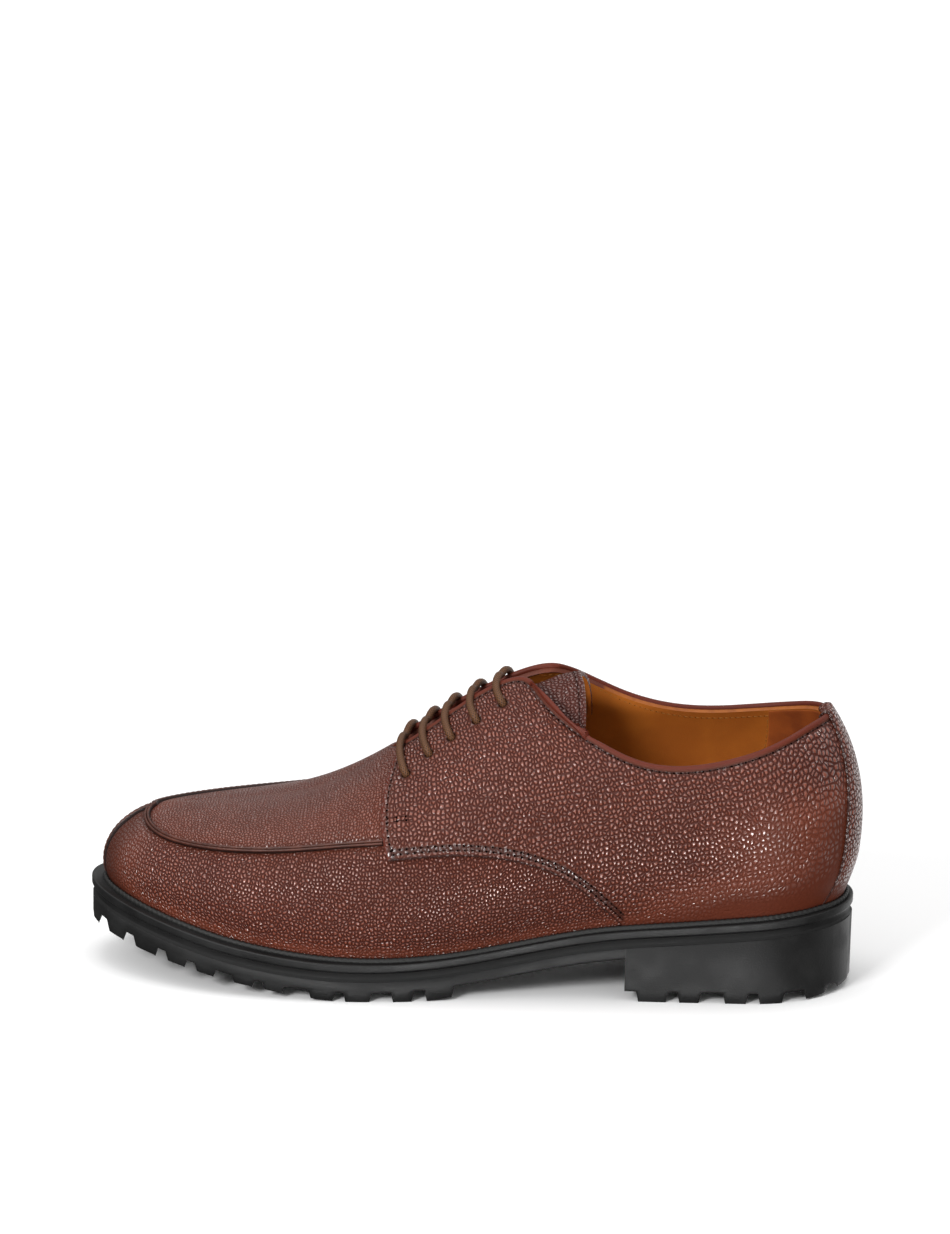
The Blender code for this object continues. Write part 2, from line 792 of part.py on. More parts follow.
def make_outsole(material):
    """The rubber sole with lugs under the forefoot and a plain waist."""
    drop = WELT + MIDSOLE + 2 * GAP
    turns = stations(FOREFOOT_NOTCHES, *PLAIN_LINES, TREAD_BACK, 1)
    margin = lambda turn: OUTSOLE_SETBACK
    bottom = below_seat(drop + OUTSOLE)
    mesh = plate_mesh("outsole", turns, LUG_BANDS, margin, below_seat(drop), bottom)
    whole_toe = FOREFOOT_NOTCHES.column["end"][-2]

    def is_lug(point):
        along = 0.5 - point.x / LENGTH
        if along < TREAD_BACK or in_notch(along, FOREFOOT_NOTCHES):
            return False
        return along > whole_toe or band_of(point) in EDGE_BANDS + MIDDLE_BANDS

    add_lugs(mesh, is_lug)
    return add_object("outsole", mesh, material)


def make_heel(material):
    """The heel block with its lugs, stepped at the breast."""
    drop = WELT + MIDSOLE + OUTSOLE + 3 * GAP
    turns = stations(HEEL_NOTCHES, 0, HEEL_STEP, BREAST)
    margin = lambda turn: OUTSOLE_SETBACK
    bottom = lambda x: np.full_like(x, HEEL_LUG)
    mesh = plate_mesh("heel", turns, LUG_BANDS, margin, below_seat(drop), bottom)
    back = HEEL_NOTCHES.column["start"][0]

    def is_lug(point):
        along = 0.5 - point.x / LENGTH
        if along > HEEL_STEP or in_notch(along, HEEL_NOTCHES):
            return False
        return along < back or band_of(point) in EDGE_BANDS + MIDDLE_BANDS

    add_lugs(mesh, is_lug)
    return add_object("heel", mesh, material)


def hole_share(turn, side, distance):
    """Share of the girth at a distance from the ridge."""
    return 1 - distance / girth(turn, side)


def hole_cutter(side, material):
    """The five punches for one facing, as one hidden cutter."""
    mesh = bpy.data.meshes.new("punches")
    solid = bmesh.new()
    name = "lateral" if side == LATERAL else "medial"
    for turn, distance in zip(HOLES.order, HOLES.column[name]):
        share = hole_share(turn, side, MM * distance)
        course = Vector(normal(turn, share, side))
        turned = course.to_track_quat("Z", "Y").to_matrix().to_4x4()
        place = Matrix.Translation(last(turn, share, side)) @ turned
        radius = LACE_HOLE / 2
        bmesh.ops.create_cone(
            solid, cap_ends=True, segments=8, radius1=radius, radius2=radius, depth=CUTTER, matrix=place
        )
    solid.to_mesh(mesh)
    solid.free()
    cutter = add_object("punches_" + name, mesh, material)
    cutter.hide_render = True
    cutter.display_type = "WIRE"
    return cutter


def punch(solid, cutter):
    """Cuts the lace holes."""
    cut = solid.modifiers.new("lace holes", "BOOLEAN")
    cut.operation = "DIFFERENCE"
    cut.solver = "EXACT"
    cut.object = cutter


def over_facing(x, turn, side, out, lift):
    """A point above the last, at a place along the shoe and a distance from the ridge, found by halving the turn."""
    low = turn - BAR_SLANT
    high = turn + BAR_SLANT
    for _ in range(BAR_HALVINGS):
        middle = (low + high) / 2
        place = skin(middle, hole_share(middle, side, out), side, lift)
        if place[0] > x:
            low = middle
        else:
            high = middle
    return place


def lace_bar(number, turn, distances, material):
    """One bar of the lace, out of a hole, straight over both facings and into the hole across."""
    face = QUARTER_GAP + QUARTER
    ends = LACE_END.column
    holes = {side: last(turn, hole_share(turn, side, MM * distances[side]), side)[0] for side in distances}
    middle = sum(holes.values()) / len(holes)
    route = []
    for side in (LATERAL, MEDIAL):
        reach = MM * distances[side]
        half = [(reach - MM * inside, MM * high) for inside, high in zip(ends["inside"], ends["height"])]
        inner = np.linspace(half[-1][0], 0, BAR_POINTS)[1:]
        half += [(out, half[-1][1] - LACE_SAG * (1 - out / reach) ** SAG_POWER) for out in inner]
        turned = []
        for out, high in half:
            hole = skin(turn, hole_share(turn, side, reach), side, face + high)[0]
            bow = BAR_BOW[side] * np.sin(np.pi * out / reach) + BAR_MIDDLE * (1 - out / reach)
            along = middle + (hole - middle) * out / reach + bow
            turned.append(over_facing(along, turn, side, out, face + high))
        route += turned if side == LATERAL else turned[-2::-1]
    curve = bpy.data.curves.new(f"lace_bar_{number}", "CURVE")
    curve.dimensions = "3D"
    curve.bevel_depth = LACE / 2
    curve.bevel_resolution = 1
    curve.use_fill_caps = True
    line = curve.splines.new("POLY")
    line.points.add(len(route) - 1)
    for point, place in zip(line.points, route):
        point.co = (*place, 1)
    return add_object(curve.name, curve, material)


def clear_scene():
    """Removes what the file starts with."""
    for old in list(bpy.data.objects):
        bpy.data.objects.remove(old)


def main():
    clear_scene()
    vamp = finish("vamp_leather", (0.152, 0.048, 0.030), 0.42)
    quarter = finish("quarter_leather", (0.150, 0.047, 0.029), 0.42)
    strip = finish("strip_leather", (0.110, 0.033, 0.022), 0.42)
    seam = finish("seam_leather", (0.070, 0.022, 0.015), 0.45)
    tongue = finish("tongue_leather", (0.105, 0.032, 0.024), 0.45)
    insole = finish("insole_leather", (0.300, 0.110, 0.020), 0.55)
    cork = finish("cork", (0.350, 0.210, 0.100), 0.90)
    welt = finish("welt_leather", (0.022, 0.021, 0.020), 0.55)
    midsole = finish("midsole_leather", (0.012, 0.012, 0.011), 0.65)
    rubber = finish("sole_rubber", (0.030, 0.030, 0.031), 0.60)
    heel_rubber = finish("heel_rubber", (0.028, 0.028, 0.029), 0.60)
    lace = finish("waxed_cord", (0.092, 0.045, 0.020), 0.60)

    upper = make_upper(vamp)
    quarters = {
        LATERAL: make_quarter("quarter_lateral", LATERAL, quarter),
        MEDIAL: make_quarter("quarter_medial", MEDIAL, quarter),
    }
    for side, piece in quarters.items():
        cutter = hole_cutter(side, quarter)
        punch(piece, cutter)
        punch(upper, cutter)
    make_back_strip(strip)
    make_apron_seam(seam)
    make_toe_seam(seam)
    make_tongue(tongue)
    make_insole(insole)
    make_filler(cork)
    make_welt(welt)
    make_midsole(midsole)
    make_outsole(rubber)
    make_heel(heel_rubber)
    for number, turn in enumerate(HOLES.order, 1):
        distances = {LATERAL: HOLES.at("lateral", turn), MEDIAL: HOLES.at("medial", turn)}
        lace_bar(number, turn, distances, lace)


if __name__ == "__main__":
    main()
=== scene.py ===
"""Looks of the lace-up shoe: pebbled leather, raised seams, stitching, a waxed lace and a lugged rubber sole.

The leather pieces are cut from the same last as the solids. A place on it is a turn around the foot (0 at the
heel's back, 1 at the toe's tip) and a share of the girth (0 at the welt, 1 at the ridge over the instep).
"""

from __future__ import annotations

import json
import logging
import math
from collections.abc import Callable, Sequence
from dataclasses import dataclass
from enum import Enum

import bmesh
import bpy
import numpy as np
from mathutils import Matrix, Vector
from mathutils.kdtree import KDTree

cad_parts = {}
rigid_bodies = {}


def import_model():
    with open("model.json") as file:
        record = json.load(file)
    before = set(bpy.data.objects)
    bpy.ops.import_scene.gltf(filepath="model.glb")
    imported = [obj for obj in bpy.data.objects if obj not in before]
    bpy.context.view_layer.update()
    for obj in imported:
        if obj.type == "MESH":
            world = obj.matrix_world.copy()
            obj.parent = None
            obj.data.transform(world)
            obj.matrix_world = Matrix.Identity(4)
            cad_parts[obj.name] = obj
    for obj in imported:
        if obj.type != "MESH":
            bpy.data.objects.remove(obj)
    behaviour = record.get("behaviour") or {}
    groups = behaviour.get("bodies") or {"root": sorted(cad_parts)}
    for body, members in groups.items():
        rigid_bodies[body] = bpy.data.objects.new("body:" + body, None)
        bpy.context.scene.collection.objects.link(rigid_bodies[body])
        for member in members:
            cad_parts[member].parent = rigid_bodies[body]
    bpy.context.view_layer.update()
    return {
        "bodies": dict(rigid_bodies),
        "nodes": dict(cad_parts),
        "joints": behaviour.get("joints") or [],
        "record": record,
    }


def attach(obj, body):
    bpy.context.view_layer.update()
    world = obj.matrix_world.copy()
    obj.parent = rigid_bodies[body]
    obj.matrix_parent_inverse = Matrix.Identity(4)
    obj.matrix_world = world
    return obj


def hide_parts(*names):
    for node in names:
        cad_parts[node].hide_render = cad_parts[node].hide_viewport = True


MM = 0.001
TINY = 1e-12
BODY = "root"
WHITE = (1.0, 1.0, 1.0, 1.0)
Array = np.ndarray
Material = bpy.types.Material
Socket = bpy.types.NodeSocket
Solid = bmesh.types.BMesh
Span = tuple[float, float]
Chain = list[tuple[float, Callable[[Array], Array]]]
log = logging.getLogger("shoe")


class Side(Enum):
    """The shoe's two sides, with the sign of their Y."""

    LATERAL = -1
    MEDIAL = 1


class Zone(Enum):
    """What a face of a leather piece shows, as the number of its material."""

    GRAIN = 0
    RIM = 1
    BACK = 2


class Table:
    """Named columns of a few sections. The first column orders them."""

    def __init__(self, **columns: Sequence[float]) -> None:
        """Keeps the columns.

        Args:
            columns: The values of each column, from the first section to the last.
        """
        self.column = {name: np.array(values, float) for name, values in columns.items()}
        self.order = next(iter(self.column.values()))

    def at(self, name: str, where: float | Array) -> Array:
        """A natural cubic spline through the named column.

        Args:
            name: The column.
            where: Places along the first column.

        Returns:
            The column's values there.
        """
        knots = self.order
        values = self.column[name]
        steps = np.diff(knots)
        count = len(knots)
        matrix = np.eye(count)
        slopes = np.zeros(count)
        for i in range(1, count - 1):
            matrix[i, i - 1 : i + 2] = steps[i - 1], 2 * (steps[i - 1] + steps[i]), steps[i]
            rise = np.diff(values[i - 1 : i + 2]) / steps[i - 1 : i + 1]
            slopes[i] = 6 * (rise[1] - rise[0])
        bend = np.linalg.solve(matrix, slopes)
        where = np.asarray(where, float)
        i = np.clip(np.searchsorted(knots, where) - 1, 0, count - 2)
        step = steps[i]
        after = where - knots[i]
        before = knots[i + 1] - where
        curve = (bend[i] * before**3 + bend[i + 1] * after**3) / (6 * step)
        start = (values[i] / step - bend[i] * step / 6) * before
        end = (values[i + 1] / step - bend[i + 1] * step / 6) * after
        return curve + start + end


# Half breadths of the welt as shares of the ball width
OUTLINE = Table(
    along=(0.00, 0.15, 0.30, 0.42, 0.55, 0.66, 0.76, 0.88, 1.00),
    lateral=(0.324, 0.358, 0.377, 0.397, 0.471, 0.510, 0.495, 0.441, 0.392),
    medial=(0.314, 0.333, 0.314, 0.324, 0.412, 0.485, 0.495, 0.466, 0.431),
)

# Height of the welt as a share of the heel's, and the upper's inset from the rim in mm
SEAT = Table(
    along=(0.00, 0.10, 0.22, 0.32, 0.42, 0.52, 0.63, 0.75, 0.87, 1.00),
    height=(1.000, 0.932, 0.844, 0.762, 0.608, 0.471, 0.416, 0.482, 0.663, 0.918),
    inset=(5.2, 5.0, 4.5, 3.9, 3.4, 3.4, 4.5, 5.5, 6.0, 6.6),
)

# The ridge over the foot, as shares of the instep height and of the ball width
RIDGE = Table(
    along=(0.15, 0.26, 0.35, 0.42, 0.48, 0.55, 0.62, 0.70, 0.78, 0.88),
    height=(1.097, 1.040, 1.008, 1.007, 0.951, 0.830, 0.694, 0.576, 0.529, 0.504),
    offset=(0.000, 0.000, 0.005, 0.010, 0.020, 0.030, 0.045, 0.060, 0.070, 0.060),
)

# The wall between welt and ridge: bulge and its height in mm, and how full the upper curve is
SIDES = Table(
    along=(0.00, 0.12, 0.25, 0.40, 0.52, 0.65, 0.78, 0.90, 1.00),
    bulge_lateral=(4.4, 5.2, 5.0, 6.0, 5.0, 3.0, 2.0, 1.0, 0.8),
    bulge_medial=(4.4, 5.2, 5.0, 5.0, 4.0, 3.0, 2.0, 1.0, 0.8),
    widest=(32, 28, 24, 22, 18, 13, 10, 8, 7),
    full_lateral=(2.00, 2.00, 1.95, 1.62, 1.65, 1.93, 2.20, 2.20, 2.00),
    full_medial=(2.00, 2.00, 1.95, 1.62, 1.70, 2.07, 2.40, 2.35, 2.00),
)

# The free edge of the upper, from the heel's back over collar, corner and facing to the throat
EDGE = {
    Side.LATERAL: Table(
        row=range(16),
        turn=(
            0.000, 0.090, 0.155, 0.215, 0.270, 0.315, 0.352, 0.380,
            0.400, 0.413, 0.418, 0.430, 0.464, 0.500, 0.531, 0.556,
        ),
        share=(
            0.610, 0.600, 0.575, 0.545, 0.530, 0.535, 0.570, 0.640,
            0.720, 0.810, 0.890, 0.940, 0.946, 0.931, 0.912, 0.905,
        ),
    ),
    Side.MEDIAL: Table(
        row=range(16),
        turn=(
            0.000, 0.090, 0.155, 0.215, 0.265, 0.305, 0.337, 0.360,
            0.375, 0.386, 0.398, 0.425, 0.465, 0.505, 0.533, 0.556,
        ),
        share=(
            0.610, 0.602, 0.588, 0.583, 0.598, 0.630, 0.680, 0.745,
            0.820, 0.890, 0.933, 0.940, 0.936, 0.930, 0.922, 0.915,
        ),
    ),
}
EDGE_ROWS = 15
EDGE_COLUMNS = 21
FACING_ROW = 10.5
EDGE_FINENESS = 6
LEAN_POWER = 1.5
# The most that burnish and painted shade darken the leather
MOST_BURNISH_AND_SHADE = 0.95
THROAT = 0.572

# The quarter's lower edge, from where it leaves the welt to the facing's corner
QUARTER_FOOT = Table(
    row=range(8),
    turn=(0.365, 0.383, 0.401, 0.424, 0.450, 0.482, 0.520, 0.562),
    share=(0.000, 0.070, 0.140, 0.225, 0.295, 0.352, 0.388, 0.400),
)
QUARTER_FOOT_ROWS = 7

# Half width of the strip over the back seam, as a turn
BACK_STRIP = Table(
    share=(0.00, 0.10, 0.25, 0.45, 0.62),
    half=(0.118, 0.100, 0.092, 0.068, 0.042),
)

# The raised seam around the apron
APRON = Table(
    turn=(0.560, 0.610, 0.680, 0.750, 0.800, 0.845, 0.890, 0.940, 1.000),
    lateral=(0.470, 0.484, 0.470, 0.451, 0.456, 0.490, 0.560, 0.655, 0.755),
    medial=(0.560, 0.605, 0.660, 0.692, 0.702, 0.708, 0.716, 0.730, 0.755),
)

# The tongue's half width in mm, from its free top to under the vamp
TONGUE_WIDTH = Table(
    turn=(0.343, 0.400, 0.480, 0.560, 0.640),
    half=(33, 32, 27, 22, 18),
)

# Lace holes: turn, and distance from the ridge in mm on each side
HOLES = Table(
    turn=(0.453, 0.480, 0.505, 0.527, 0.549),
    lateral=(17.0, 19.3, 21.6, 24.3, 29.0),
    medial=(17.0, 19.0, 21.0, 23.5, 27.0),
)

# How a lace bar turns into its hole, in mm: distance towards the ridge, and height above the facing
LACE_END = Table(
    row=range(5),
    inside=(0.0, 0.0, 0.5, 1.4, 3.0),
    height=(-2.6, -0.5, 0.75, 1.35, 1.5),
)

# Notches in the lugs, as shares of the length
FOREFOOT_NOTCHES = Table(
    start=(0.549, 0.592, 0.653, 0.698, 0.758, 0.798, 0.848, 0.888, 0.933, 0.973),
    end=(0.562, 0.616, 0.663, 0.729, 0.768, 0.819, 0.858, 0.898, 0.944, 0.982),
)
HEEL_NOTCHES = Table(
    start=(0.020, 0.061, 0.121, 0.166, 0.225),
    end=(0.030, 0.086, 0.133, 0.194, 0.236),
)


def weights(part: Array) -> tuple[Array, ...]:
    """Shares of four neighbours in a smooth curve between the middle two.

    Args:
        part: Place between the middle two, from 0 to 1.

    Returns:
        The four shares.
    """
    return (
        ((2 - part) * part - 1) * part / 2,
        ((3 * part - 5) * part * part + 2) / 2,
        ((4 - 3 * part) * part + 1) * part / 2,
        (part - 1) * part * part / 2,
    )


def smooth(low: float, high: float, value: Array) -> Array:
    """A soft step.

    Args:
        low: Where the step starts at 0.
        high: Where it ends at 1.
        value: The places.

    Returns:
        The step's height at each place.
    """
    part = np.clip((value - low) / (high - low), 0, 1)
    return part * part * (3 - 2 * part)


def bell(value: Array, half: float, middle: float = 0.0) -> Array:
    """A soft bump of height 1 about a middle, of the given half width."""
    return np.exp(-(((value - middle) / half) ** 2))


def unit(vectors: Array) -> Array:
    """The vectors at length 1."""
    return vectors / np.maximum(np.linalg.norm(vectors, axis=-1, keepdims=True), TINY)


def lengths(points: Array, axis: int) -> Array:
    """Length along the lines of a grid of points, from their start.

    Args:
        points: The grid.
        axis: The axis that the lines run along.

    Returns:
        A length for each point.
    """
    steps = np.linalg.norm(np.diff(points, axis=axis), axis=-1)
    start = np.zeros_like(np.take(steps, [0], axis=axis))
    return np.concatenate([start, np.cumsum(steps, axis)], axis)


@dataclass
class Last:
    """The form that every piece of the upper is cut from, and the sole's outline under it."""

    length: float = 305 * MM
    ball_width: float = 102 * MM
    instep_height: float = 124 * MM
    heel_height: float = 36.5 * MM
    place: tuple[float, float, float] = (-1.25 * MM, 0.7 * MM, 0.0)
    heel_round: float = 0.135
    heel_power: float = 2.1
    toe_round: float = 0.215
    toe_power: float = 2.05
    ridge_back: float = 0.18
    ridge_front: float = 0.88
    gap: float = 0.35 * MM
    turns: int = 480
    shares: int = 320
    belt: float = 0.3
    low_points: int = 60
    high_points: int = 420
    probe: float = 1e-3
    off_welt: float = 0.05 * MM

    def __post_init__(self) -> None:
        """Works out the ring of sections that the surface is read from."""
        self.girths: dict[Side, Array] = {}
        halves = {side: self.half(side) for side in Side}
        ring = np.concatenate([halves[Side.LATERAL][:-1], halves[Side.MEDIAL][:0:-1]])
        below = 2 * ring[:, :1] - ring[:, 1:2]
        across = np.arange(0, -2 * self.turns, -1) % (2 * self.turns)
        above = ring[across, -2][:, None]
        self.ring = np.concatenate([below, ring, above], axis=1)
        belt = ring[:, int(self.belt * self.shares)]
        self.belt_length = lengths(np.concatenate([belt, belt[:1]]), 0)

    @staticmethod
    def along_of(turn: float | Array) -> Array:
        """The share of the length, from heel to toe, at a turn."""
        return 0.5 - 0.5 * np.cos(np.pi * np.asarray(turn, float))

    @staticmethod
    def turn_of(along: float | Array) -> Array:
        """The turn at a share of the length."""
        return np.arccos(1 - 2 * np.asarray(along, float)) / np.pi

    def seat_height(self, x: Array) -> Array:
        """Height of the welt's upper face above the floor."""
        return self.heel_height * SEAT.at("height", np.clip(0.5 - x / self.length, 0, 1))

    def rim(self, turn: Array, side: Side) -> Array:
        """The welt's outline in plan.

        Args:
            turn: Turns, which may run past either end.
            side: The side that they are counted on.

        Returns:
            Points in plan.
        """
        turn = np.asarray(turn, float)
        sign = np.where((turn < 0) | (turn > 1), -side.value, side.value)
        turn = np.abs(turn)
        along = self.along_of(np.where(turn > 1, 2 - turn, turn))
        back = np.clip(1 - along / self.heel_round, 0, 1)
        front = np.clip(1 - (1 - along) / self.toe_round, 0, 1)
        ends = (1 - back**self.heel_power) ** (1 / self.heel_power)
        ends = ends * (1 - front**self.toe_power) ** (1 / self.toe_power)
        half = np.where(sign < 0, OUTLINE.at("lateral", along), OUTLINE.at("medial", along))
        return np.stack([self.length * (0.5 - along), sign * self.ball_width * half * ends], -1)

    def inset_rim(self, turn: Array, side: Side, inset: float | Array) -> Array:
        """The welt's outline, moved inwards.

        Args:
            turn: Turns around the foot.
            side: The side.
            inset: How far inwards.

        Returns:
            Points in plan.
        """
        turn = np.asarray(turn, float)
        course = unit(self.rim(turn + self.probe, side) - self.rim(turn - self.probe, side))
        inward = side.value * np.stack([-course[..., 1], course[..., 0]], -1)
        return self.rim(turn, side) + inward * np.asarray(inset)[..., None]

    def half(self, side: Side) -> Array:
        """The sections of one side, from heel to toe, each from welt to ridge.

        Args:
            side: The side.

        Returns:
            Points by turn and share.
        """
        turn = np.linspace(0, 1, self.turns + 1)
        along = self.along_of(turn)
        name = side.name.lower()
        foot = self.inset_rim(turn, side, MM * SEAT.at("inset", along))
        ridge_along = self.ridge_back + (self.ridge_front - self.ridge_back) * along
        ridge_y = self.ball_width * RIDGE.at("offset", ridge_along)
        ridge = np.stack([self.length * (0.5 - ridge_along), ridge_y], -1)
        reach = np.linalg.norm(foot - ridge, axis=-1)[:, None]
        outward = (foot - ridge) / reach
        ground = self.seat_height(foot[:, 0]) + self.gap
        bulge = MM * SIDES.at("bulge_" + name, along)[:, None]
        full = SIDES.at("full_" + name, along)[:, None]
        widest = MM * SIDES.at("widest", along)[:, None]
        rise = (self.instep_height * RIDGE.at("height", ridge_along) - ground)[:, None] - widest
        low = np.linspace(0, 1, self.low_points)
        bend = np.linspace(0, np.pi / 2, self.high_points)[1:]
        out_high = (bulge + reach) * np.abs(np.cos(bend)) ** (2 / full) - reach
        out = np.concatenate([bulge * (1 - (1 - low) ** 2), out_high], -1)
        up = np.concatenate([widest * low, widest + rise * np.sin(bend)], -1)
        steps = np.hypot(np.diff(out), np.diff(up))
        length = np.concatenate([np.zeros((len(turn), 1)), np.cumsum(steps, -1)], -1)
        self.girths[side] = length[:, -1]
        share = np.linspace(0, 1, self.shares + 1)
        points = np.empty((len(turn), len(share), 3))
        for k in range(len(turn)):
            target = share * length[k, -1]
            out_here = np.interp(target, length[k], out[k])
            points[k, :, :2] = foot[k] + outward[k] * out_here[:, None]
            points[k, :, 2] = ground[k] + np.interp(target, length[k], up[k])
        return points

    def girth(self, turn: Array, side: Side) -> Array:
        """Length of a section from the welt to the ridge.

        Args:
            turn: Turns, which may run past either end.
            side: The side.

        Returns:
            A length for each turn.
        """
        turn = np.abs(np.asarray(turn, float))
        turn = np.where(turn > 1, 2 - turn, turn)
        return np.interp(turn, np.linspace(0, 1, self.turns + 1), self.girths[side])

    def ring_place(self, turn: Array, side: Side) -> Array:
        """Where a turn lies on the ring of sections, counted in sections."""
        return self.turns * (np.asarray(turn, float) if side is Side.LATERAL else 2 - np.asarray(turn, float))

    def belt_place(self, turn: Array, side: Side) -> Array:
        """Length around the foot at a turn, from the heel's back over the lateral side."""
        place = self.ring_place(turn, side) % (2 * self.turns)
        return np.interp(place, np.arange(2 * self.turns + 1), self.belt_length)

    def point(self, turn: Array, share: Array, side: Side) -> Array:
        """Points on the outer face of the lasted upper.

        Args:
            turn: Turns around the foot.
            share: Shares of the girth; past 1 they run on over the ridge.
            side: The side.

        Returns:
            Points in space.
        """
        turn, share = np.broadcast_arrays(np.asarray(turn, float), np.asarray(share, float))
        place = self.ring_place(turn, side)
        place = np.where(share > 1, 2 * self.turns - place, place)
        row = np.clip(np.where(share > 1, 2 - share, share), 0, 1) * self.shares
        column = np.floor(place).astype(int)
        line = np.minimum(np.floor(row).astype(int), self.shares - 1)
        total = np.zeros(turn.shape + (3,))
        for a, across in enumerate(weights(place - column)):
            near = (column + a - 1) % (2 * self.turns)
            for b, upward in enumerate(weights(row - line)):
                total += (across * upward)[..., None] * self.ring[near, line + b]
        return total

    def normal(self, turn: Array, share: Array, side: Side) -> Array:
        """Outward course of the surface.

        Args:
            turn: Turns around the foot.
            share: Shares of the girth.
            side: The side.

        Returns:
            Vectors of length 1.
        """
        step = 2 / self.turns
        turn, share = np.broadcast_arrays(np.asarray(turn, float), np.asarray(share, float))
        share = np.clip(share, 0, 1 - self.probe)
        forward = self.point(turn + step, share, side) - self.point(turn - step, share, side)
        upward = self.point(turn, share + step, side) - self.point(turn, np.maximum(share - step, 0), side)
        return unit(np.cross(forward, upward) * side.value)

    def skin(self, turn: Array, share: Array, side: Side, lift: float | Array) -> Array:
        """The surface raised by a lift, kept off the welt.

        Args:
            turn: Turns around the foot.
            share: Shares of the girth.
            side: The side.
            lift: Height above the last, the same all over or one for each place.

        Returns:
            Points in space.
        """
        lift = np.asarray(lift, float)
        points = self.point(turn, share, side) + lift[..., None] * self.normal(turn, share, side)
        points[..., 2] = np.maximum(points[..., 2], self.seat_height(points[..., 0]) + self.off_welt)
        return points

    def below_ridge(self, turn: Array, side: Side, distance: Array) -> Array:
        """Share of the girth at a distance from the ridge."""
        return 1 - distance / self.girth(turn, side)


LAST = Last()


class Wiring:
    """Short hand for the nodes of one tree."""

    def __init__(self, tree: bpy.types.NodeTree) -> None:
        """Keeps the tree."""
        self.tree = tree

    def put(self, socket: Socket, value: object) -> None:
        """Links a socket to another, or sets its constant.

        Args:
            socket: The input.
            value: The output that it reads, or the constant.
        """
        if isinstance(value, Socket):
            self.tree.links.new(value, socket)
        else:
            socket.default_value = value

    def node(self, kind: str, out: str | int = 0, settings: dict | None = None, **inputs: object) -> Socket:
        """Adds a node.

        Args:
            kind: Its type, where ShaderNode in front may be left out.
            out: Name or number of the output that is wanted.
            settings: Properties of the node.
            inputs: Inputs by name, with _ for a space, or by number after a leading i.

        Returns:
            The output.
        """
        made = self.tree.nodes.new(kind if "Node" in kind else "ShaderNode" + kind)
        for name, value in (settings or {}).items():
            setattr(made, name, value)
        for name, value in inputs.items():
            number = name[1:] if name[0] == "i" and name[1:].isdigit() else None
            self.put(made.inputs[int(number)] if number else made.inputs[name.replace("_", " ")], value)
        return made.outputs[out]

    def attribute(self, name: str) -> Socket:
        """A vector that the mesh carries."""
        return self.node("Attribute", "Vector", {"attribute_name": name})

    def parts(self, vector: Socket) -> list[Socket]:
        """The three numbers of a vector."""
        return list(self.node("SeparateXYZ", Vector=vector).node.outputs)

    def math(self, kind: str, first: object, second: object = 0.0, third: object = 0.0) -> Socket:
        """A sum of two numbers, or another operation on two or three."""
        return self.node("Math", 0, {"operation": kind}, i0=first, i1=second, i2=third)

    def scaled(self, vector: Socket, scale: tuple[float, float, float]) -> Socket:
        """A vector multiplied part by part."""
        return self.node("VectorMath", 0, {"operation": "MULTIPLY"}, i0=vector, i1=scale)

    def ramp(self, value: Socket, low: float, high: float, start: float = 0.0, end: float = 1.0) -> Socket:
        """A soft step from start to end as the value goes from low to high."""
        given = {"From_Min": low, "From_Max": high, "To_Min": start, "To_Max": end}
        return self.node("MapRange", 0, {"interpolation_type": "SMOOTHSTEP"}, Value=value, **given)

    def noise(self, vector: Socket, scale: float, detail: float = 3.0) -> Socket:
        """Cloudy noise from 0 to 1."""
        return self.node("TexNoise", "Fac", Vector=vector, Scale=scale, Detail=detail)

    def mix(self, factor: object, first: object, second: object) -> Socket:
        """A colour between two colours."""
        return self.node("Mix", 2, {"data_type": "RGBA"}, i0=factor, i6=first, i7=second)


class Finish(Wiring):
    """The nodes of one material."""

    def __init__(self, name: str) -> None:
        """Starts a material with its principled shader.

        Args:
            name: Name of the material.
        """
        self.material = bpy.data.materials.new(name)
        self.material.use_nodes = True
        super().__init__(self.material.node_tree)
        self.shader = self.tree.nodes.get("Principled BSDF")

    def bump(self, height: Socket, distance: float) -> None:
        """Gives the shader a relief of the given depth."""
        normal = self.node("Bump", Height=height, Distance=distance, Strength=1.0)
        self.shade(Normal=normal, Coat_Normal=normal)

    def shade(self, **inputs: object) -> Material:
        """Sets the shader's inputs.

        Args:
            inputs: Outputs or constants by name of the input, with _ for a space.

        Returns:
            The material.
        """
        for name, value in inputs.items():
            self.put(self.shader.inputs[name.replace("_", " ")], value)
        return self.material


def rgb(red: float, green: float, blue: float) -> tuple[float, float, float, float]:
    """A colour from the 0 to 255 values seen on a screen."""
    return (*(((v / 255 + 0.055) / 1.055) ** 2.4 for v in (red, green, blue)), 1.0)


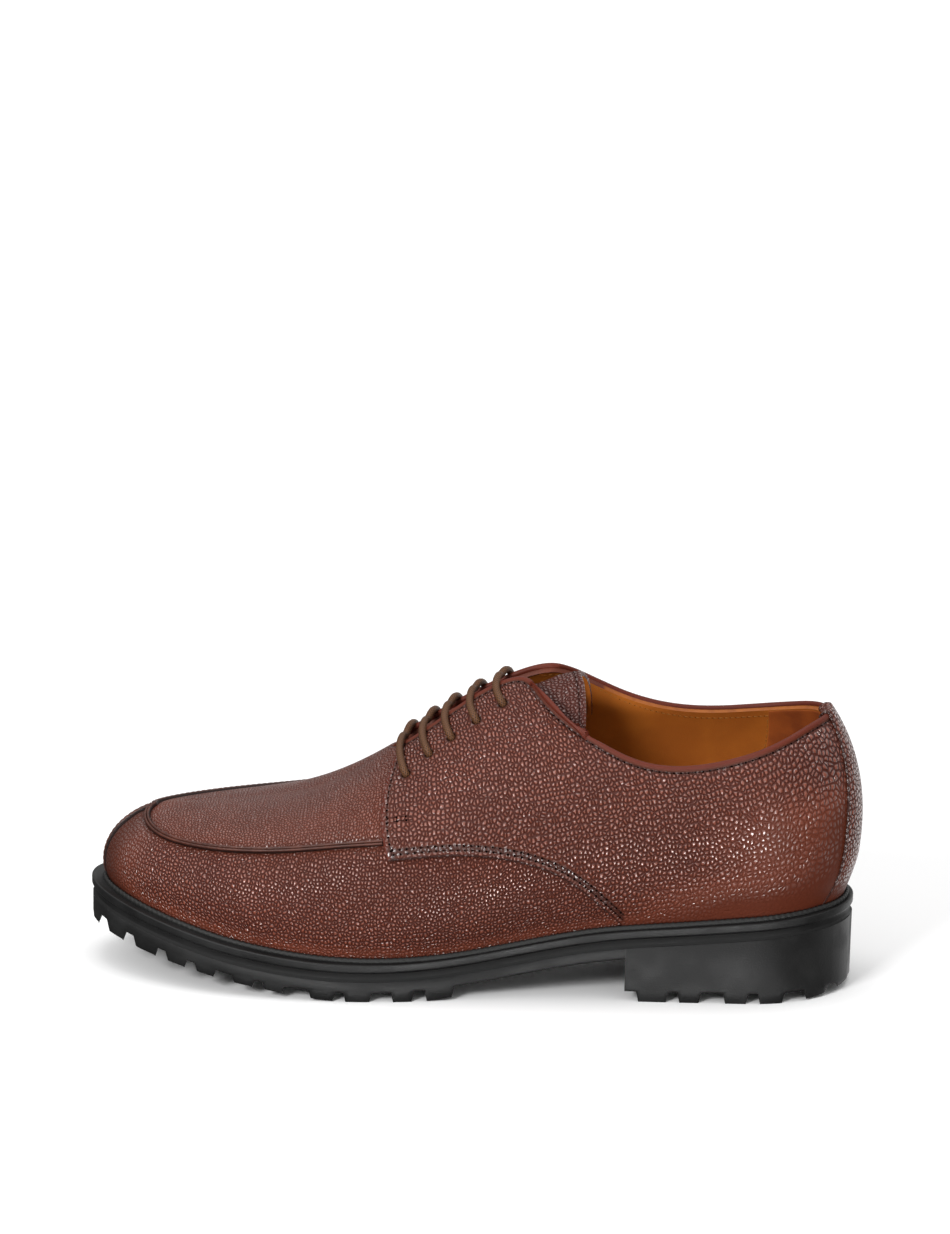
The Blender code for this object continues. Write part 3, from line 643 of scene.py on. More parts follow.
# A ramp among the sizes of a finish says where it starts and ends, and may say from which value to which
@dataclass(frozen=True)
class PebbledLeather:
    """Embossed leather with rounded grains, a darker valley colour with painted shade between them, and a
    thin polish.
    """

    name: str
    top: tuple = rgb(122, 61, 42)
    valley: tuple = rgb(54, 17, 8)
    plain: tuple = rgb(86, 37, 20)
    # Colour that burnish and painted shade darken the leather to
    burnish_and_shade_colour: tuple = rgb(32, 13, 9)
    edge: tuple = rgb(88, 35, 23)
    grain_width: float = 1.65
    grain_height: float = 2.0
    randomness: float = 0.85
    warp: float = 1.2
    warp_scale: float = 0.2
    valley_half: float = 0.36
    crown_ramp: Span = (0.72, 0.12)
    crown_share: float = 0.5
    fine_scale: float = 3.2
    fine_share: float = 0.02
    depth: float = 0.5 * MM
    mottle_scale: float = 0.045
    mottle_ramp: tuple = (0.3, 0.7, 0.0, 0.25)
    grained_ramp: Span = (0.15, 0.7)
    hollow_shade_ramp: Span = (1.0, 0.15)
    hollow_shade_share: float = 0.9
    polish_ramp: Span = (0.05, 0.35)
    roughness: tuple = (0.2, 0.9, 0.55, 0.40)
    specular: tuple = (0.1, 0.7, 0.2, 0.45)
    coat: tuple = (0.1, 0.6, 0.0, 1.0)
    coat_roughness: tuple = (0.05, 0.3, 0.4, 0.22)

    def make(self) -> Material:
        """Builds the material.

        Returns:
            The material, which reads the mesh's grain (mm along and up) and tone (burnish and painted shade,
            relief, edge).
        """
        w = Finish(self.name)
        grain = w.attribute("grain")
        burnish_and_shade, relief, edge = w.parts(w.attribute("tone"))
        pebble = self.pebble(w, grain)
        fine = w.noise(grain, self.fine_scale)
        w.bump(w.math("MULTIPLY_ADD", fine, self.fine_share, w.math("MULTIPLY", pebble, relief)), self.depth)
        mottle = w.ramp(w.noise(grain, self.mottle_scale), *self.mottle_ramp)
        lit = w.mix(mottle, self.top, self.valley)
        lit = w.mix(w.ramp(relief, *self.grained_ramp), self.plain, lit)
        # Painted shade: the hollows between pebbles darken with their depth, over the grain's darker valley
        # colour
        hollow_shade = w.math("MULTIPLY", w.ramp(pebble, *self.hollow_shade_ramp), relief)
        colour = w.mix(w.math("MULTIPLY", hollow_shade, self.hollow_shade_share), lit, self.valley)
        # Burnish and painted shade from the tone's first part
        colour = w.mix(burnish_and_shade, colour, self.burnish_and_shade_colour)
        colour = w.mix(edge, colour, self.edge)
        shine = w.math("MULTIPLY", pebble, w.ramp(relief, *self.polish_ramp))
        return w.shade(
            Base_Color=colour,
            Roughness=w.ramp(shine, *self.roughness),
            Specular_IOR_Level=w.ramp(shine, *self.specular),
            Coat_Weight=w.ramp(shine, *self.coat),
            Coat_Roughness=w.ramp(relief, *self.coat_roughness),
        )

    def pebble(self, w: Finish, grain: Socket) -> Socket:
        """Height of the pebbles.

        Args:
            w: The material's nodes.
            grain: Place on the leather, in mm.

        Returns:
            The height, from 0 between the pebbles to 1 on them.
        """
        cloud = w.node("TexNoise", "Color", Vector=grain, Scale=self.warp_scale, Detail=1.0)
        warp = (self.warp, self.warp, 0)
        shift = w.node("VectorMath", 0, {"operation": "MULTIPLY_ADD"}, i0=cloud, i1=warp, i2=grain)
        cells = w.scaled(shift, (1 / self.grain_width, 1 / self.grain_height, 0))
        heights = []
        for feature, ramp in (("DISTANCE_TO_EDGE", (0.0, self.valley_half)), ("F1", self.crown_ramp)):
            settings = {"voronoi_dimensions": "2D", "feature": feature}
            inputs = {"Vector": cells, "Scale": 1.0, "Randomness": self.randomness}
            heights.append(w.ramp(w.node("TexVoronoi", "Distance", settings, **inputs), *ramp))
        pillow, crown = heights
        domed = w.math("MULTIPLY_ADD", crown, self.crown_share, 1 - self.crown_share)
        return w.math("MULTIPLY", domed, pillow)


@dataclass(frozen=True)
class SmoothLeather:
    """Plain leather with pores and cloudy colour, read in the piece's own space."""

    name: str
    light: tuple
    dark: tuple
    roughness: float = 0.5
    cloud: float = 60.0
    pore: float = 1800.0
    depth: float = 0.05 * MM
    # Colour that the tone's painted shade darkens to
    burnish_and_shade_colour: tuple = rgb(30, 13, 9)
    cloud_ramp: Span = (0.3, 0.72)
    pore_ramp: Span = (0.3, 0.7)
    pore_dull: float = 0.08
    specular: float = 0.3

    def make(self) -> Material:
        """Builds the material.

        Returns:
            The material, darkened by the first part of the mesh's tone, which holds painted shade.
        """
        w = Finish(self.name)
        place = w.node("TexCoord", "Object")
        burnish_and_shade = w.parts(w.attribute("tone"))[0]
        pores = w.noise(place, self.pore)
        w.bump(pores, self.depth)
        clouds = w.ramp(w.noise(place, self.cloud, detail=4.0), *self.cloud_ramp)
        colour = w.mix(clouds, self.light, self.dark)
        colour = w.mix(burnish_and_shade, colour, self.burnish_and_shade_colour)
        ends = (self.roughness + self.pore_dull, self.roughness - self.pore_dull)
        rough = w.ramp(pores, *self.pore_ramp, *ends)
        return w.shade(Base_Color=colour, Roughness=rough, Specular_IOR_Level=self.specular)


@dataclass(frozen=True)
class BlackRubber:
    """Moulded rubber or dressed sole edge, dusty in places."""

    name: str
    dark: tuple = rgb(19, 19, 19)
    dusty: tuple = rgb(30, 30, 30)
    roughness: float = 0.5
    dust_dull: float = 0.14
    dust_scale: float = 70.0
    dust_ramp: Span = (0.35, 0.75)
    skin_scale: float = 1500.0
    drawn_scale: float = 240.0
    drawn_stretch: tuple = (1.0, 1.0, 9.0)
    drawn_share: float = 0.7
    depth: float = 0.06 * MM
    specular: float = 0.28

    def make(self) -> Material:
        """Builds the material.

        Returns:
            The material.
        """
        w = Finish(self.name)
        place = w.node("TexCoord", "Object")
        dust = w.ramp(w.noise(place, self.dust_scale, detail=5.0), *self.dust_ramp)
        skin = w.noise(place, self.skin_scale, detail=4.0)
        drawn = w.noise(w.scaled(place, self.drawn_stretch), self.drawn_scale)
        w.bump(w.math("ADD", skin, w.math("MULTIPLY", drawn, self.drawn_share)), self.depth)
        rough = w.ramp(dust, 0.0, 1.0, self.roughness, self.roughness + self.dust_dull)
        colour = w.mix(dust, self.dark, self.dusty)
        return w.shade(Base_Color=colour, Roughness=rough, Specular_IOR_Level=self.specular)


@dataclass(frozen=True)
class WaxedCord:
    """A round braided lace with wax on it."""

    name: str
    light: tuple = rgb(92, 59, 34)
    dark: tuple = rgb(46, 28, 16)
    plait: float = 1.1
    fibre_scale: float = 5.0
    fibre_share: float = 0.25
    strand_ramp: Span = (0.55, 1.15)
    depth: float = 0.12 * MM
    roughness: float = 0.6
    specular: float = 0.3

    def make(self) -> Material:
        """Builds the material.

        Returns:
            The material, which reads the mesh's grain (mm around and along the lace).
        """
        w = Finish(self.name)
        around, along, _ = w.parts(w.attribute("grain"))
        ridges = []
        for kind in ("ADD", "SUBTRACT"):
            slant = w.math("MULTIPLY", w.math(kind, around, along), math.pi / self.plait)
            ridges.append(w.math("ABSOLUTE", w.math("SINE", slant)))
        fibre = w.noise(w.attribute("grain"), self.fibre_scale)
        height = w.math("MULTIPLY_ADD", fibre, self.fibre_share, w.math("MAXIMUM", *ridges))
        w.bump(height, self.depth)
        colour = w.mix(w.ramp(height, *self.strand_ramp), self.dark, self.light)
        return w.shade(Base_Color=colour, Roughness=self.roughness, Specular_IOR_Level=self.specular)


@dataclass(frozen=True)
class Thread:
    """Twisted sewing thread, or the painted shade of a needle hole."""

    name: str
    light: tuple
    dark: tuple
    roughness: float = 0.6
    specular: float = 0.3
    twist_scale: float = 2600.0
    depth: float = 0.05 * MM

    def make(self) -> Material:
        """Builds the material.

        Returns:
            The material.
        """
        w = Finish(self.name)
        twist = w.noise(w.node("TexCoord", "Object"), self.twist_scale, detail=2.0)
        w.bump(twist, self.depth)
        colour = w.mix(twist, self.dark, self.light)
        return w.shade(Base_Color=colour, Roughness=self.roughness, Specular_IOR_Level=self.specular)


@dataclass(frozen=True)
class PaleFloor:
    """A plain pale floor that glows away from the shoe."""

    name: str = "pale_floor"
    colour: tuple = (0.95, 0.95, 0.95, 1.0)
    roughness: float = 0.9
    glow_ramp: tuple = (0.25, 1.0, 0.0, 0.5)

    def make(self) -> Material:
        """Builds the material.

        Returns:
            The material.
        """
        w = Finish(self.name)
        place = w.node("TexCoord", "Object")
        away = w.node("VectorMath", "Value", {"operation": "LENGTH"}, i0=place)
        w.shade(Emission_Color=WHITE, Emission_Strength=w.ramp(away, *self.glow_ramp))
        return w.shade(Base_Color=self.colour, Roughness=self.roughness, Specular_IOR_Level=0.0)


class Finishes:
    """Every material of the shoe, made once."""

    def __init__(self) -> None:
        """Makes the materials."""
        fine = {"grain_width": 1.4, "grain_height": 1.65, "depth": 0.52 * MM}
        self.vamp = PebbledLeather("vamp_leather_grain", **fine).make()
        self.quarter = PebbledLeather("quarter_leather_grain").make()
        self.strip = PebbledLeather("strip_leather_grain", grain_width=1.8, grain_height=2.1).make()
        # Painted shade: the tongue's leather gets a darker top colour for the shade under the facings
        self.tongue = PebbledLeather("tongue_leather_grain", top=rgb(92, 44, 33), **fine).make()
        self.seam = SmoothLeather(
            "seam_leather", rgb(82, 44, 33), rgb(58, 30, 22), roughness=0.42, cloud=160.0, pore=1400.0
        ).make()
        self.lining = SmoothLeather("lining_tan", rgb(172, 98, 33), rgb(152, 83, 27), cloud=45.0).make()
        self.suede = SmoothLeather(
            "heel_lining_suede", rgb(150, 75, 24), rgb(122, 56, 16), roughness=0.8, cloud=90.0, pore=2600.0
        ).make()
        self.insole = SmoothLeather("insole_tan", rgb(186, 120, 50), rgb(158, 94, 34), cloud=40.0).make()
        # The wall's rims, painted darker under the facings as shade
        self.lining_edge = SmoothLeather(
            "lining_edge",
            rgb(150, 84, 30),
            rgb(128, 68, 24),
            roughness=0.6,
            cloud=200.0,
            burnish_and_shade_colour=rgb(92, 42, 26),
        ).make()
        self.welt = BlackRubber("welt_black", rgb(18, 18, 18), rgb(28, 28, 28), roughness=0.45).make()
        self.midsole = BlackRubber("midsole_black", rgb(14, 14, 14), rgb(22, 22, 22), roughness=0.6).make()
        self.rubber = BlackRubber("sole_rubber_black").make()
        self.lace = WaxedCord("lace_waxed").make()
        waxed = {"roughness": 0.7, "specular": 0.08}
        self.thread = Thread("thread_brown", rgb(48, 22, 15), rgb(24, 10, 7), **waxed).make()
        self.pale_thread = Thread("thread_tan", rgb(176, 116, 48), rgb(120, 70, 24)).make()
        self.black_thread = Thread("thread_black", rgb(40, 40, 39), rgb(16, 16, 16)).make()
        # Needle holes are dark blobs of painted shade
        unlit = {"roughness": 0.9, "specular": 0.0}
        self.needle_hole_shade = Thread("needle_hole_shade", rgb(14, 6, 4), rgb(8, 4, 3), **unlit).make()
        self.cork = SmoothLeather(
            "cork_ground", rgb(170, 126, 82), rgb(110, 74, 44), roughness=0.9, cloud=500.0, pore=900.0
        ).make()


@dataclass
class Piece:
    """A finished mesh on its way into the scene."""

    name: str
    points: Array
    faces: list
    materials: list
    zones: Array | None = None
    grain: Array | None = None
    tone: Array | None = None
    sharp_deg: float = 60.0

    def build(self, slot: str, *nodes: str) -> bpy.types.Object:
        """Makes the object, in its place, and hands it to the frame.

        Args:
            slot: The record's material slot.
            nodes: The solids that it stands for.

        Returns:
            The object.
        """
        mesh = bpy.data.meshes.new(self.name)
        mesh.from_pydata((np.reshape(self.points, (-1, 3)) + LAST.place).tolist(), [], self.faces)
        for material in self.materials:
            mesh.materials.append(material)
        if self.zones is not None:
            mesh.polygons.foreach_set("material_index", np.asarray(self.zones, np.int32))
        for name, values in (("grain", self.grain), ("tone", self.tone)):
            if values is not None:
                made = mesh.attributes.new(name, "FLOAT_VECTOR", "POINT")
                made.data.foreach_set("vector", np.ascontiguousarray(values, np.float32).ravel())
        mesh.shade_smooth()
        mesh.set_sharp_from_angle(angle=math.radians(self.sharp_deg))
        mesh.update()
        return adopt(mesh, slot, *nodes)


def adopt(mesh: bpy.types.Mesh, slot: str, *nodes: str) -> bpy.types.Object:
    """Puts a mesh into the scene as a piece of the shoe.

    Args:
        mesh: The mesh, in its place.
        slot: The record's material slot; not used.
        nodes: The solids that it stands for.

    Returns:
        The object.
    """
    made = bpy.data.objects.new(mesh.name, mesh)
    bpy.context.scene.collection.objects.link(made)
    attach(made, BODY)
    if nodes:
        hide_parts(*nodes)
    log.info("%s: %d faces", made.name, len(mesh.polygons))
    return made


def grid_ids(points: Array, *closed: int) -> Array:
    """Numbers of a grid's points.

    Args:
        points: The grid.
        closed: Axes along which it closes, so that its first line follows its last.

    Returns:
        The numbers, with the first line again at the end of a closed axis.
    """
    ids = np.arange(points[..., 0].size).reshape(points.shape[:-1])
    for axis in closed:
        ids = np.concatenate([ids, np.take(ids, [0], axis)], axis)
    return ids


def grid_quads(ids: Array) -> Array:
    """Quads between the rows of a grid of vertex numbers."""
    corners = (ids[:-1, :-1], ids[1:, :-1], ids[1:, 1:], ids[:-1, 1:])
    return np.stack([c.ravel() for c in corners], -1)


def volume(points: Array, quads: Array) -> float:
    """Signed volume that quads enclose, positive where they point outwards."""
    a, b, c, d = (points[quads[:, k]] for k in range(4))
    return float((np.cross(b - a, c - a) * a).sum() + (np.cross(c - a, d - a) * a).sum())


def tube_faces(rings: Array) -> list[list[int]]:
    """Faces of a tube with closed ends, all pointing outwards.

    Args:
        rings: Points, by ring and place on the ring.

    Returns:
        Vertex numbers: the quads by ring, then the two ends.
    """
    ids = grid_ids(rings, 1)
    quads = grid_quads(ids)
    faces = quads.tolist() + [ids[0, :-1].tolist(), ids[-1, -2::-1].tolist()]
    inward = volume(rings.reshape(-1, 3), quads) < 0
    return [face[::-1] for face in faces] if inward else faces


def loop_faces(rings: Array) -> list[list[int]]:
    """Quads of a tube that closes on itself, all pointing outwards.

    Args:
        rings: Points, by ring and place on the ring.

    Returns:
        Vertex numbers of each quad.
    """
    quads = grid_quads(grid_ids(rings, 0, 1))
    inward = volume(rings.reshape(-1, 3), quads) < 0
    return (quads[:, ::-1] if inward else quads).tolist()


def quad_normals(points: Array, quads: Array) -> Array:
    """Smooth normals at the corners of quads.

    Args:
        points: The vertices.
        quads: Their numbers, four to a face.

    Returns:
        A vector of length 1 at each vertex.
    """
    across = np.cross(points[quads[:, 2]] - points[quads[:, 0]], points[quads[:, 3]] - points[quads[:, 1]])
    total = np.zeros_like(points)
    for k in range(4):
        for axis in range(3):
            total[:, axis] += np.bincount(quads[:, k], across[:, axis], len(points))
    return unit(total)


@dataclass
class Hide:
    """A leather piece as a face of quads, before it gets its thickness, its rims and its holes."""

    points: Array
    grain: Array
    tone: Array
    thickness: float
    quads: Array | None = None
    steps: int = 4
    rim_out: float = 0.35 * MM
    rim_down: float = 0.45 * MM
    rim_tint: float = 0.5
    rim_relief: float = 0.35
    hole_reach: float = 4.0
    hole_out: float = 0.2 * MM
    hole_down: float = 0.35 * MM
    # Painted shade around the rim of each punched hole
    hole_shade: float = 0.8
    hole_relief: float = 0.2

    def __post_init__(self) -> None:
        """Gives every vertex a plain cut rim. Without quads the points are one grid."""
        if self.quads is None:
            self.quads = grid_quads(grid_ids(self.points))
        self.points = self.points.reshape(-1, 3)
        self.grain = self.grain.reshape(-1, 3)
        self.tone = self.tone.reshape(-1, 3)
        self.normals = quad_normals(self.points, self.quads)
        count = len(self.points)
        self.out = np.full(count, self.rim_out)
        self.down = np.full(count, self.rim_down)
        self.sweep = np.full(count, math.pi / 2)
        self.rim_edge = np.full(count, self.rim_tint)

    def turn_over(self) -> None:
        """Makes all faces look the other way."""
        self.quads = self.quads[:, ::-1]
        self.normals = -self.normals

    def punch(self, centre: Array, axis: Array, radius: float) -> None:
        """Cuts a round hole through the piece.

        Args:
            centre: The hole's middle.
            axis: Its course.
            radius: Its radius.
        """
        from_centre = self.points - centre
        depth = from_centre @ axis
        flat = from_centre - depth[:, None] * axis
        away = np.linalg.norm(flat, axis=1)
        inside = (away < radius) & (np.abs(depth) < self.hole_reach * radius)
        lost = inside[self.quads].any(1)
        ring = np.intersect1d(self.quads[lost], self.quads[~lost])
        self.points[ring] += flat[ring] * (radius / away[ring] - 1)[:, None]
        self.quads = self.quads[~lost]
        self.out[ring] = self.hole_out
        self.down[ring] = self.hole_down
        self.sweep[ring] = math.pi / 2
        self.rim_edge[ring] = 0.0
        # Painted shade on the hole's rim, and a flatter grain there
        self.tone[ring, :2] = self.hole_shade, self.hole_relief

    def free_edges(self) -> Array:
        """The edges that only one face has.

        Returns:
            Pairs of vertices along the rims, with the face on their left.
        """
        count = len(self.points)
        edges = np.concatenate([self.quads[:, [k, (k + 1) % 4]] for k in range(4)])
        ahead = edges[:, 0] * count + edges[:, 1]
        behind = edges[:, 1] * count + edges[:, 0]
        return edges[~np.isin(ahead, behind)]

    def solid(self, name: str, materials: list) -> Piece:
        """Gives the piece its thickness, with rounded rims.

        Args:
            name: Name of the piece.
            materials: Its materials in the order of Zone.

        Returns:
            A closed piece.
        """
        count = len(self.points)
        free = self.free_edges()
        rim = np.unique(free)
        slot = np.full(count, -1)
        slot[rim] = np.arange(len(rim))
        course = unit(self.points[free[:, 1]] - self.points[free[:, 0]])
        outward = np.zeros((len(rim), 3))
        for end in (0, 1):
            np.add.at(outward, slot[free[:, end]], np.cross(course, self.normals[free[:, end]]))
        normal = self.normals[rim]
        outward = unit(outward - (outward * normal).sum(1, keepdims=True) * normal)
        layers = [self.points]
        levels = [np.arange(count)]
        for k in range(1, self.steps + 1):
            bend = self.sweep[rim] * k / self.steps
            spread = (self.out[rim] * np.sin(bend))[:, None] * outward
            drop = (self.down[rim] * (1 - np.cos(bend)))[:, None] * normal
            levels.append(slot + sum(map(len, layers)))
            layers.append(self.points[rim] + spread - drop)
        levels.append(np.arange(count) + sum(map(len, layers)))
        layers.append(self.points - self.thickness * self.normals)
        ahead = free[:, 0]
        behind = free[:, 1]
        faces = [self.quads]
        for near, far in zip(levels, levels[1:]):
            faces.append(np.stack([near[behind], near[ahead], far[ahead], far[behind]], -1))
        faces.append((self.quads + levels[-1][0])[:, ::-1])
        zones = [np.full(len(faces[0]), Zone.GRAIN.value)]
        zones += [np.full(len(f), Zone.RIM.value) for f in faces[1:-1]]
        zones.append(np.full(len(faces[-1]), Zone.BACK.value))
        source = np.concatenate([np.arange(count), np.tile(rim, self.steps), np.arange(count)])
        tone = self.tone[source]
        rims = slice(count, count + self.steps * len(rim))
        tone[rims, 2] = np.tile(self.rim_edge[rim], self.steps)
        tone[rims, 1] *= self.rim_relief
        used = np.zeros(len(source), bool)
        everything = np.concatenate(faces)
        used[everything] = True
        number = np.cumsum(used) - 1
        return Piece(
            name,
            np.concatenate(layers)[used],
            number[everything].tolist(),
            materials,
            zones=np.concatenate(zones),
            grain=self.grain[source][used],
            tone=tone[used],
        )


def edge_distance(points: Array, line: Array) -> Array:
    """Distance of every point from a line.

    Args:
        points: The points.
        line: Corners of the line.

    Returns:
        A distance for each point.
    """
    corners = np.arange(len(line))
    finer = np.linspace(0, len(line) - 1, EDGE_FINENESS * (len(line) - 1) + 1)
    tree = KDTree(len(finer))
    for number, place in enumerate(np.stack([np.interp(finer, corners, line[:, k]) for k in range(3)], -1)):
        tree.insert(place, number)
    tree.balance()
    found = [tree.find(place)[2] for place in points.reshape(-1, 3)]
    return np.array(found).reshape(points.shape[:-1])


def line_at(points: Array, normals: Array, measure: Array, distance: float) -> tuple[Array, Array]:
    """The line across a grid where a measure that grows along its second axis reaches a distance.

    Args:
        points: The grid.
        normals: Its normals.
        measure: The measure at each point.
        distance: The value that is sought.

    Returns:
        Points of the line, and their normals.
    """
    k = np.clip((measure < distance).sum(1) - 1, 0, measure.shape[1] - 2)
    rows = np.arange(len(points))
    low = measure[rows, k]
    part = np.clip((distance - low) / np.maximum(measure[rows, k + 1] - low, TINY), 0, 1)[:, None]
    place = points[rows, k] * (1 - part) + points[rows, k + 1] * part
    return place, unit(normals[rows, k] * (1 - part) + normals[rows, k + 1] * part)


@dataclass
class StitchRow:
    """Rows of stitches, or of dark blobs painted as the shade in needle holes, set along lines on a surface
    by one node tree.
    """

    pitch: float
    length: float
    width: float
    height: float
    sink: float = 0.02 * MM
    offset: float = 0.0
    jitter: float = 0.08
    seed: int = 7
    segments: int = 8
    rings: int = 5
    longest: float = 10.0

    def tree(self) -> bpy.types.NodeTree:
        """The node tree, made once.

        Returns:
            The tree, with named inputs for its sizes.
        """
        known = bpy.data.node_groups.get("stitch_row")
        if known:
            return known
        tree = bpy.data.node_groups.new("stitch_row", "GeometryNodeTree")
        inputs = {
            "Lines": "Geometry",
            "Pitch": "Float",
            "Offset": "Float",
            "Size": "Vector",
            "Sink": "Float",
            "Jitter": "Float",
            "Seed": "Int",
            "Material": "Material",
        }
        for name, kind in inputs.items():
            tree.interface.new_socket(name, in_out="INPUT", socket_type="NodeSocket" + kind)
        tree.interface.new_socket("Stitches", in_out="OUTPUT", socket_type="NodeSocketGeometry")
        given = tree.nodes.new("NodeGroupInput").outputs
        w = Wiring(tree)
        by_length = {"mode": "LENGTH"}
        line = w.node("GeometryNodeMeshToCurve", Mesh=given["Lines"])
        line = w.node("GeometryNodeTrimCurve", 0, by_length, Curve=line, i4=given["Offset"], i5=self.longest)
        line = w.node("GeometryNodeResampleCurve", 0, by_length, Curve=line, Length=given["Pitch"])
        ball = {"Segments": self.segments, "Rings": self.rings, "Radius": 0.5}
        stitch = w.node("GeometryNodeMeshUVSphere", "Mesh", **ball)
        below = w.node("CombineXYZ", Z=w.math("MULTIPLY", given["Sink"], -1.0))
        stitch = w.node("GeometryNodeTransform", Geometry=stitch, Translation=below, Scale=given["Size"])
        align = "FunctionNodeAlignRotationToVector"
        along = w.node(align, 0, {"axis": "X"}, Vector=w.node("GeometryNodeInputTangent"))
        facing = w.node("GeometryNodeInputNamedAttribute", 0, {"data_type": "FLOAT_VECTOR"}, Name="facing")
        upright = w.node(align, 0, {"axis": "Z", "pivot_axis": "X"}, Rotation=along, Vector=facing)
        limits = {"i2": w.math("SUBTRACT", 1.0, given["Jitter"]), "i3": w.math("ADD", 1.0, given["Jitter"])}
        size = w.node("FunctionNodeRandomValue", 1, {"data_type": "FLOAT"}, **limits, Seed=given["Seed"])
        placed = {"Points": line, "Instance": stitch, "Rotation": upright, "Scale": size}
        row = w.node("GeometryNodeInstanceOnPoints", **placed)
        row = w.node("GeometryNodeSetShadeSmooth", Geometry=row)
        row = w.node("GeometryNodeRealizeInstances", Geometry=row)
        row = w.node("GeometryNodeSetMaterial", Geometry=row, Material=given["Material"])
        tree.links.new(row, tree.nodes.new("NodeGroupOutput").inputs[0])
        return tree

    def sew(self, name: str, lines: list, material: Material, slot: str) -> bpy.types.Object:
        """Sets the stitches.

        Args:
            name: Name of the piece.
            lines: Pairs of points and normals, one for each row.
            material: Its material.
            slot: The record's material slot.

        Returns:
            The stitches as one piece.
        """
        points = np.concatenate([line[0] for line in lines]) + LAST.place
        facing = np.concatenate([line[1] for line in lines])
        edges = []
        first = 0
        for line in lines:
            edges += [(k, k + 1) for k in range(first, first + len(line[0]) - 1)]
            first += len(line[0])
        guide = bpy.data.meshes.new(name + "_guide")
        guide.from_pydata(points.tolist(), edges, [])
        made = guide.attributes.new("facing", "FLOAT_VECTOR", "POINT")
        made.data.foreach_set("vector", np.ascontiguousarray(facing, np.float32).ravel())
        holder = bpy.data.objects.new(name + "_guide", guide)
        bpy.context.scene.collection.objects.link(holder)
        tree = self.tree()
        modifier = holder.modifiers.new("stitches", "NODES")
        values = {
            "Pitch": self.pitch,
            "Offset": self.offset * self.pitch,
            "Size": (self.length, self.width, self.height),
            "Sink": self.sink,
            "Jitter": self.jitter,
            "Seed": self.seed,
            "Material": material,
        }
        modifier.node_group = tree
        for item in tree.interface.items_tree:
            if item.in_out == "INPUT" and item.name in values:
                modifier[item.identifier] = values[item.name]
        graph = bpy.context.evaluated_depsgraph_get()
        mesh = bpy.data.meshes.new_from_object(holder.evaluated_get(graph))
        mesh.name = name
        bpy.data.objects.remove(holder)
        return adopt(mesh, slot)


@dataclass(frozen=True)
class Sewing:
    """A row of thread with a needle hole at the end of each stitch, drawn as a dark blob of painted shade."""

    pitch: float
    thread: float
    hole: float
    cover: float = 0.8
    flat: float = 0.8
    hole_height: float = 0.5 * MM
    hole_sink: float = 0.1 * MM
    hole_jitter: float = 0.15
    hole_seed: int = 11

    def sew(self, name: str, lines: list, thread: Material, hole: Material, slot: str) -> None:
        """Sets threads, and dark blobs of painted shade at the needle holes.

        Args:
            name: Start of the pieces' names.
            lines: Pairs of points and normals, one for each row.
            thread: The thread's material.
            hole: The material of the dark blobs, painted shade in the holes.
            slot: The record's material slot.
        """
        StitchRow(
            pitch=self.pitch,
            length=self.pitch * self.cover,
            width=self.thread,
            height=self.thread * self.flat,
        ).sew(name + "_thread", lines, thread, slot)
        StitchRow(
            pitch=self.pitch,
            length=self.hole,
            width=self.hole,
            height=self.hole_height,
            sink=self.hole_sink,
            offset=0.5,
            jitter=self.hole_jitter,
            seed=self.hole_seed,
        ).sew(name + "_holes", lines, hole, slot)


def eyelets(side: Side) -> list[tuple[Array, Array]]:
    """The lace holes of one facing.

    Args:
        side: The facing's side.

    Returns:
        Middle on the last, and course, of each hole from the top.
    """
    found = []
    for turn, distance in zip(HOLES.order, HOLES.column[side.name.lower()]):
        share = LAST.below_ridge(turn, side, MM * distance)
        found.append((LAST.point(turn, share, side), LAST.normal(turn, share, side)))
    return found


def apron_share(turn: Array, side: Side) -> Array:
    """Share of the girth at the apron's seam."""
    return APRON.at(side.name.lower(), np.clip(turn, APRON.order[0], 1))


def lasted(up: Array, reach: float, least: float = 0.45) -> Array:
    """How much of a piece's thickness shows at a height in mm: least at the welt, where it is pulled in."""
    return least + (1 - least) * smooth(0.0, reach, up)


def toe_distance(points: Array) -> Array:
    """Distance from the upright plane through the toe's seam.

    Args:
        points: Points in space.

    Returns:
        A distance for each point.
    """
    tip = LAST.point(1.0, 0.0, Side.LATERAL)[:2]
    top = LAST.point(1.0, 1.0, Side.LATERAL)[:2]
    course = unit(top - tip)
    away = points[..., :2] - tip
    return np.abs(away[..., 0] * course[1] - away[..., 1] * course[0])


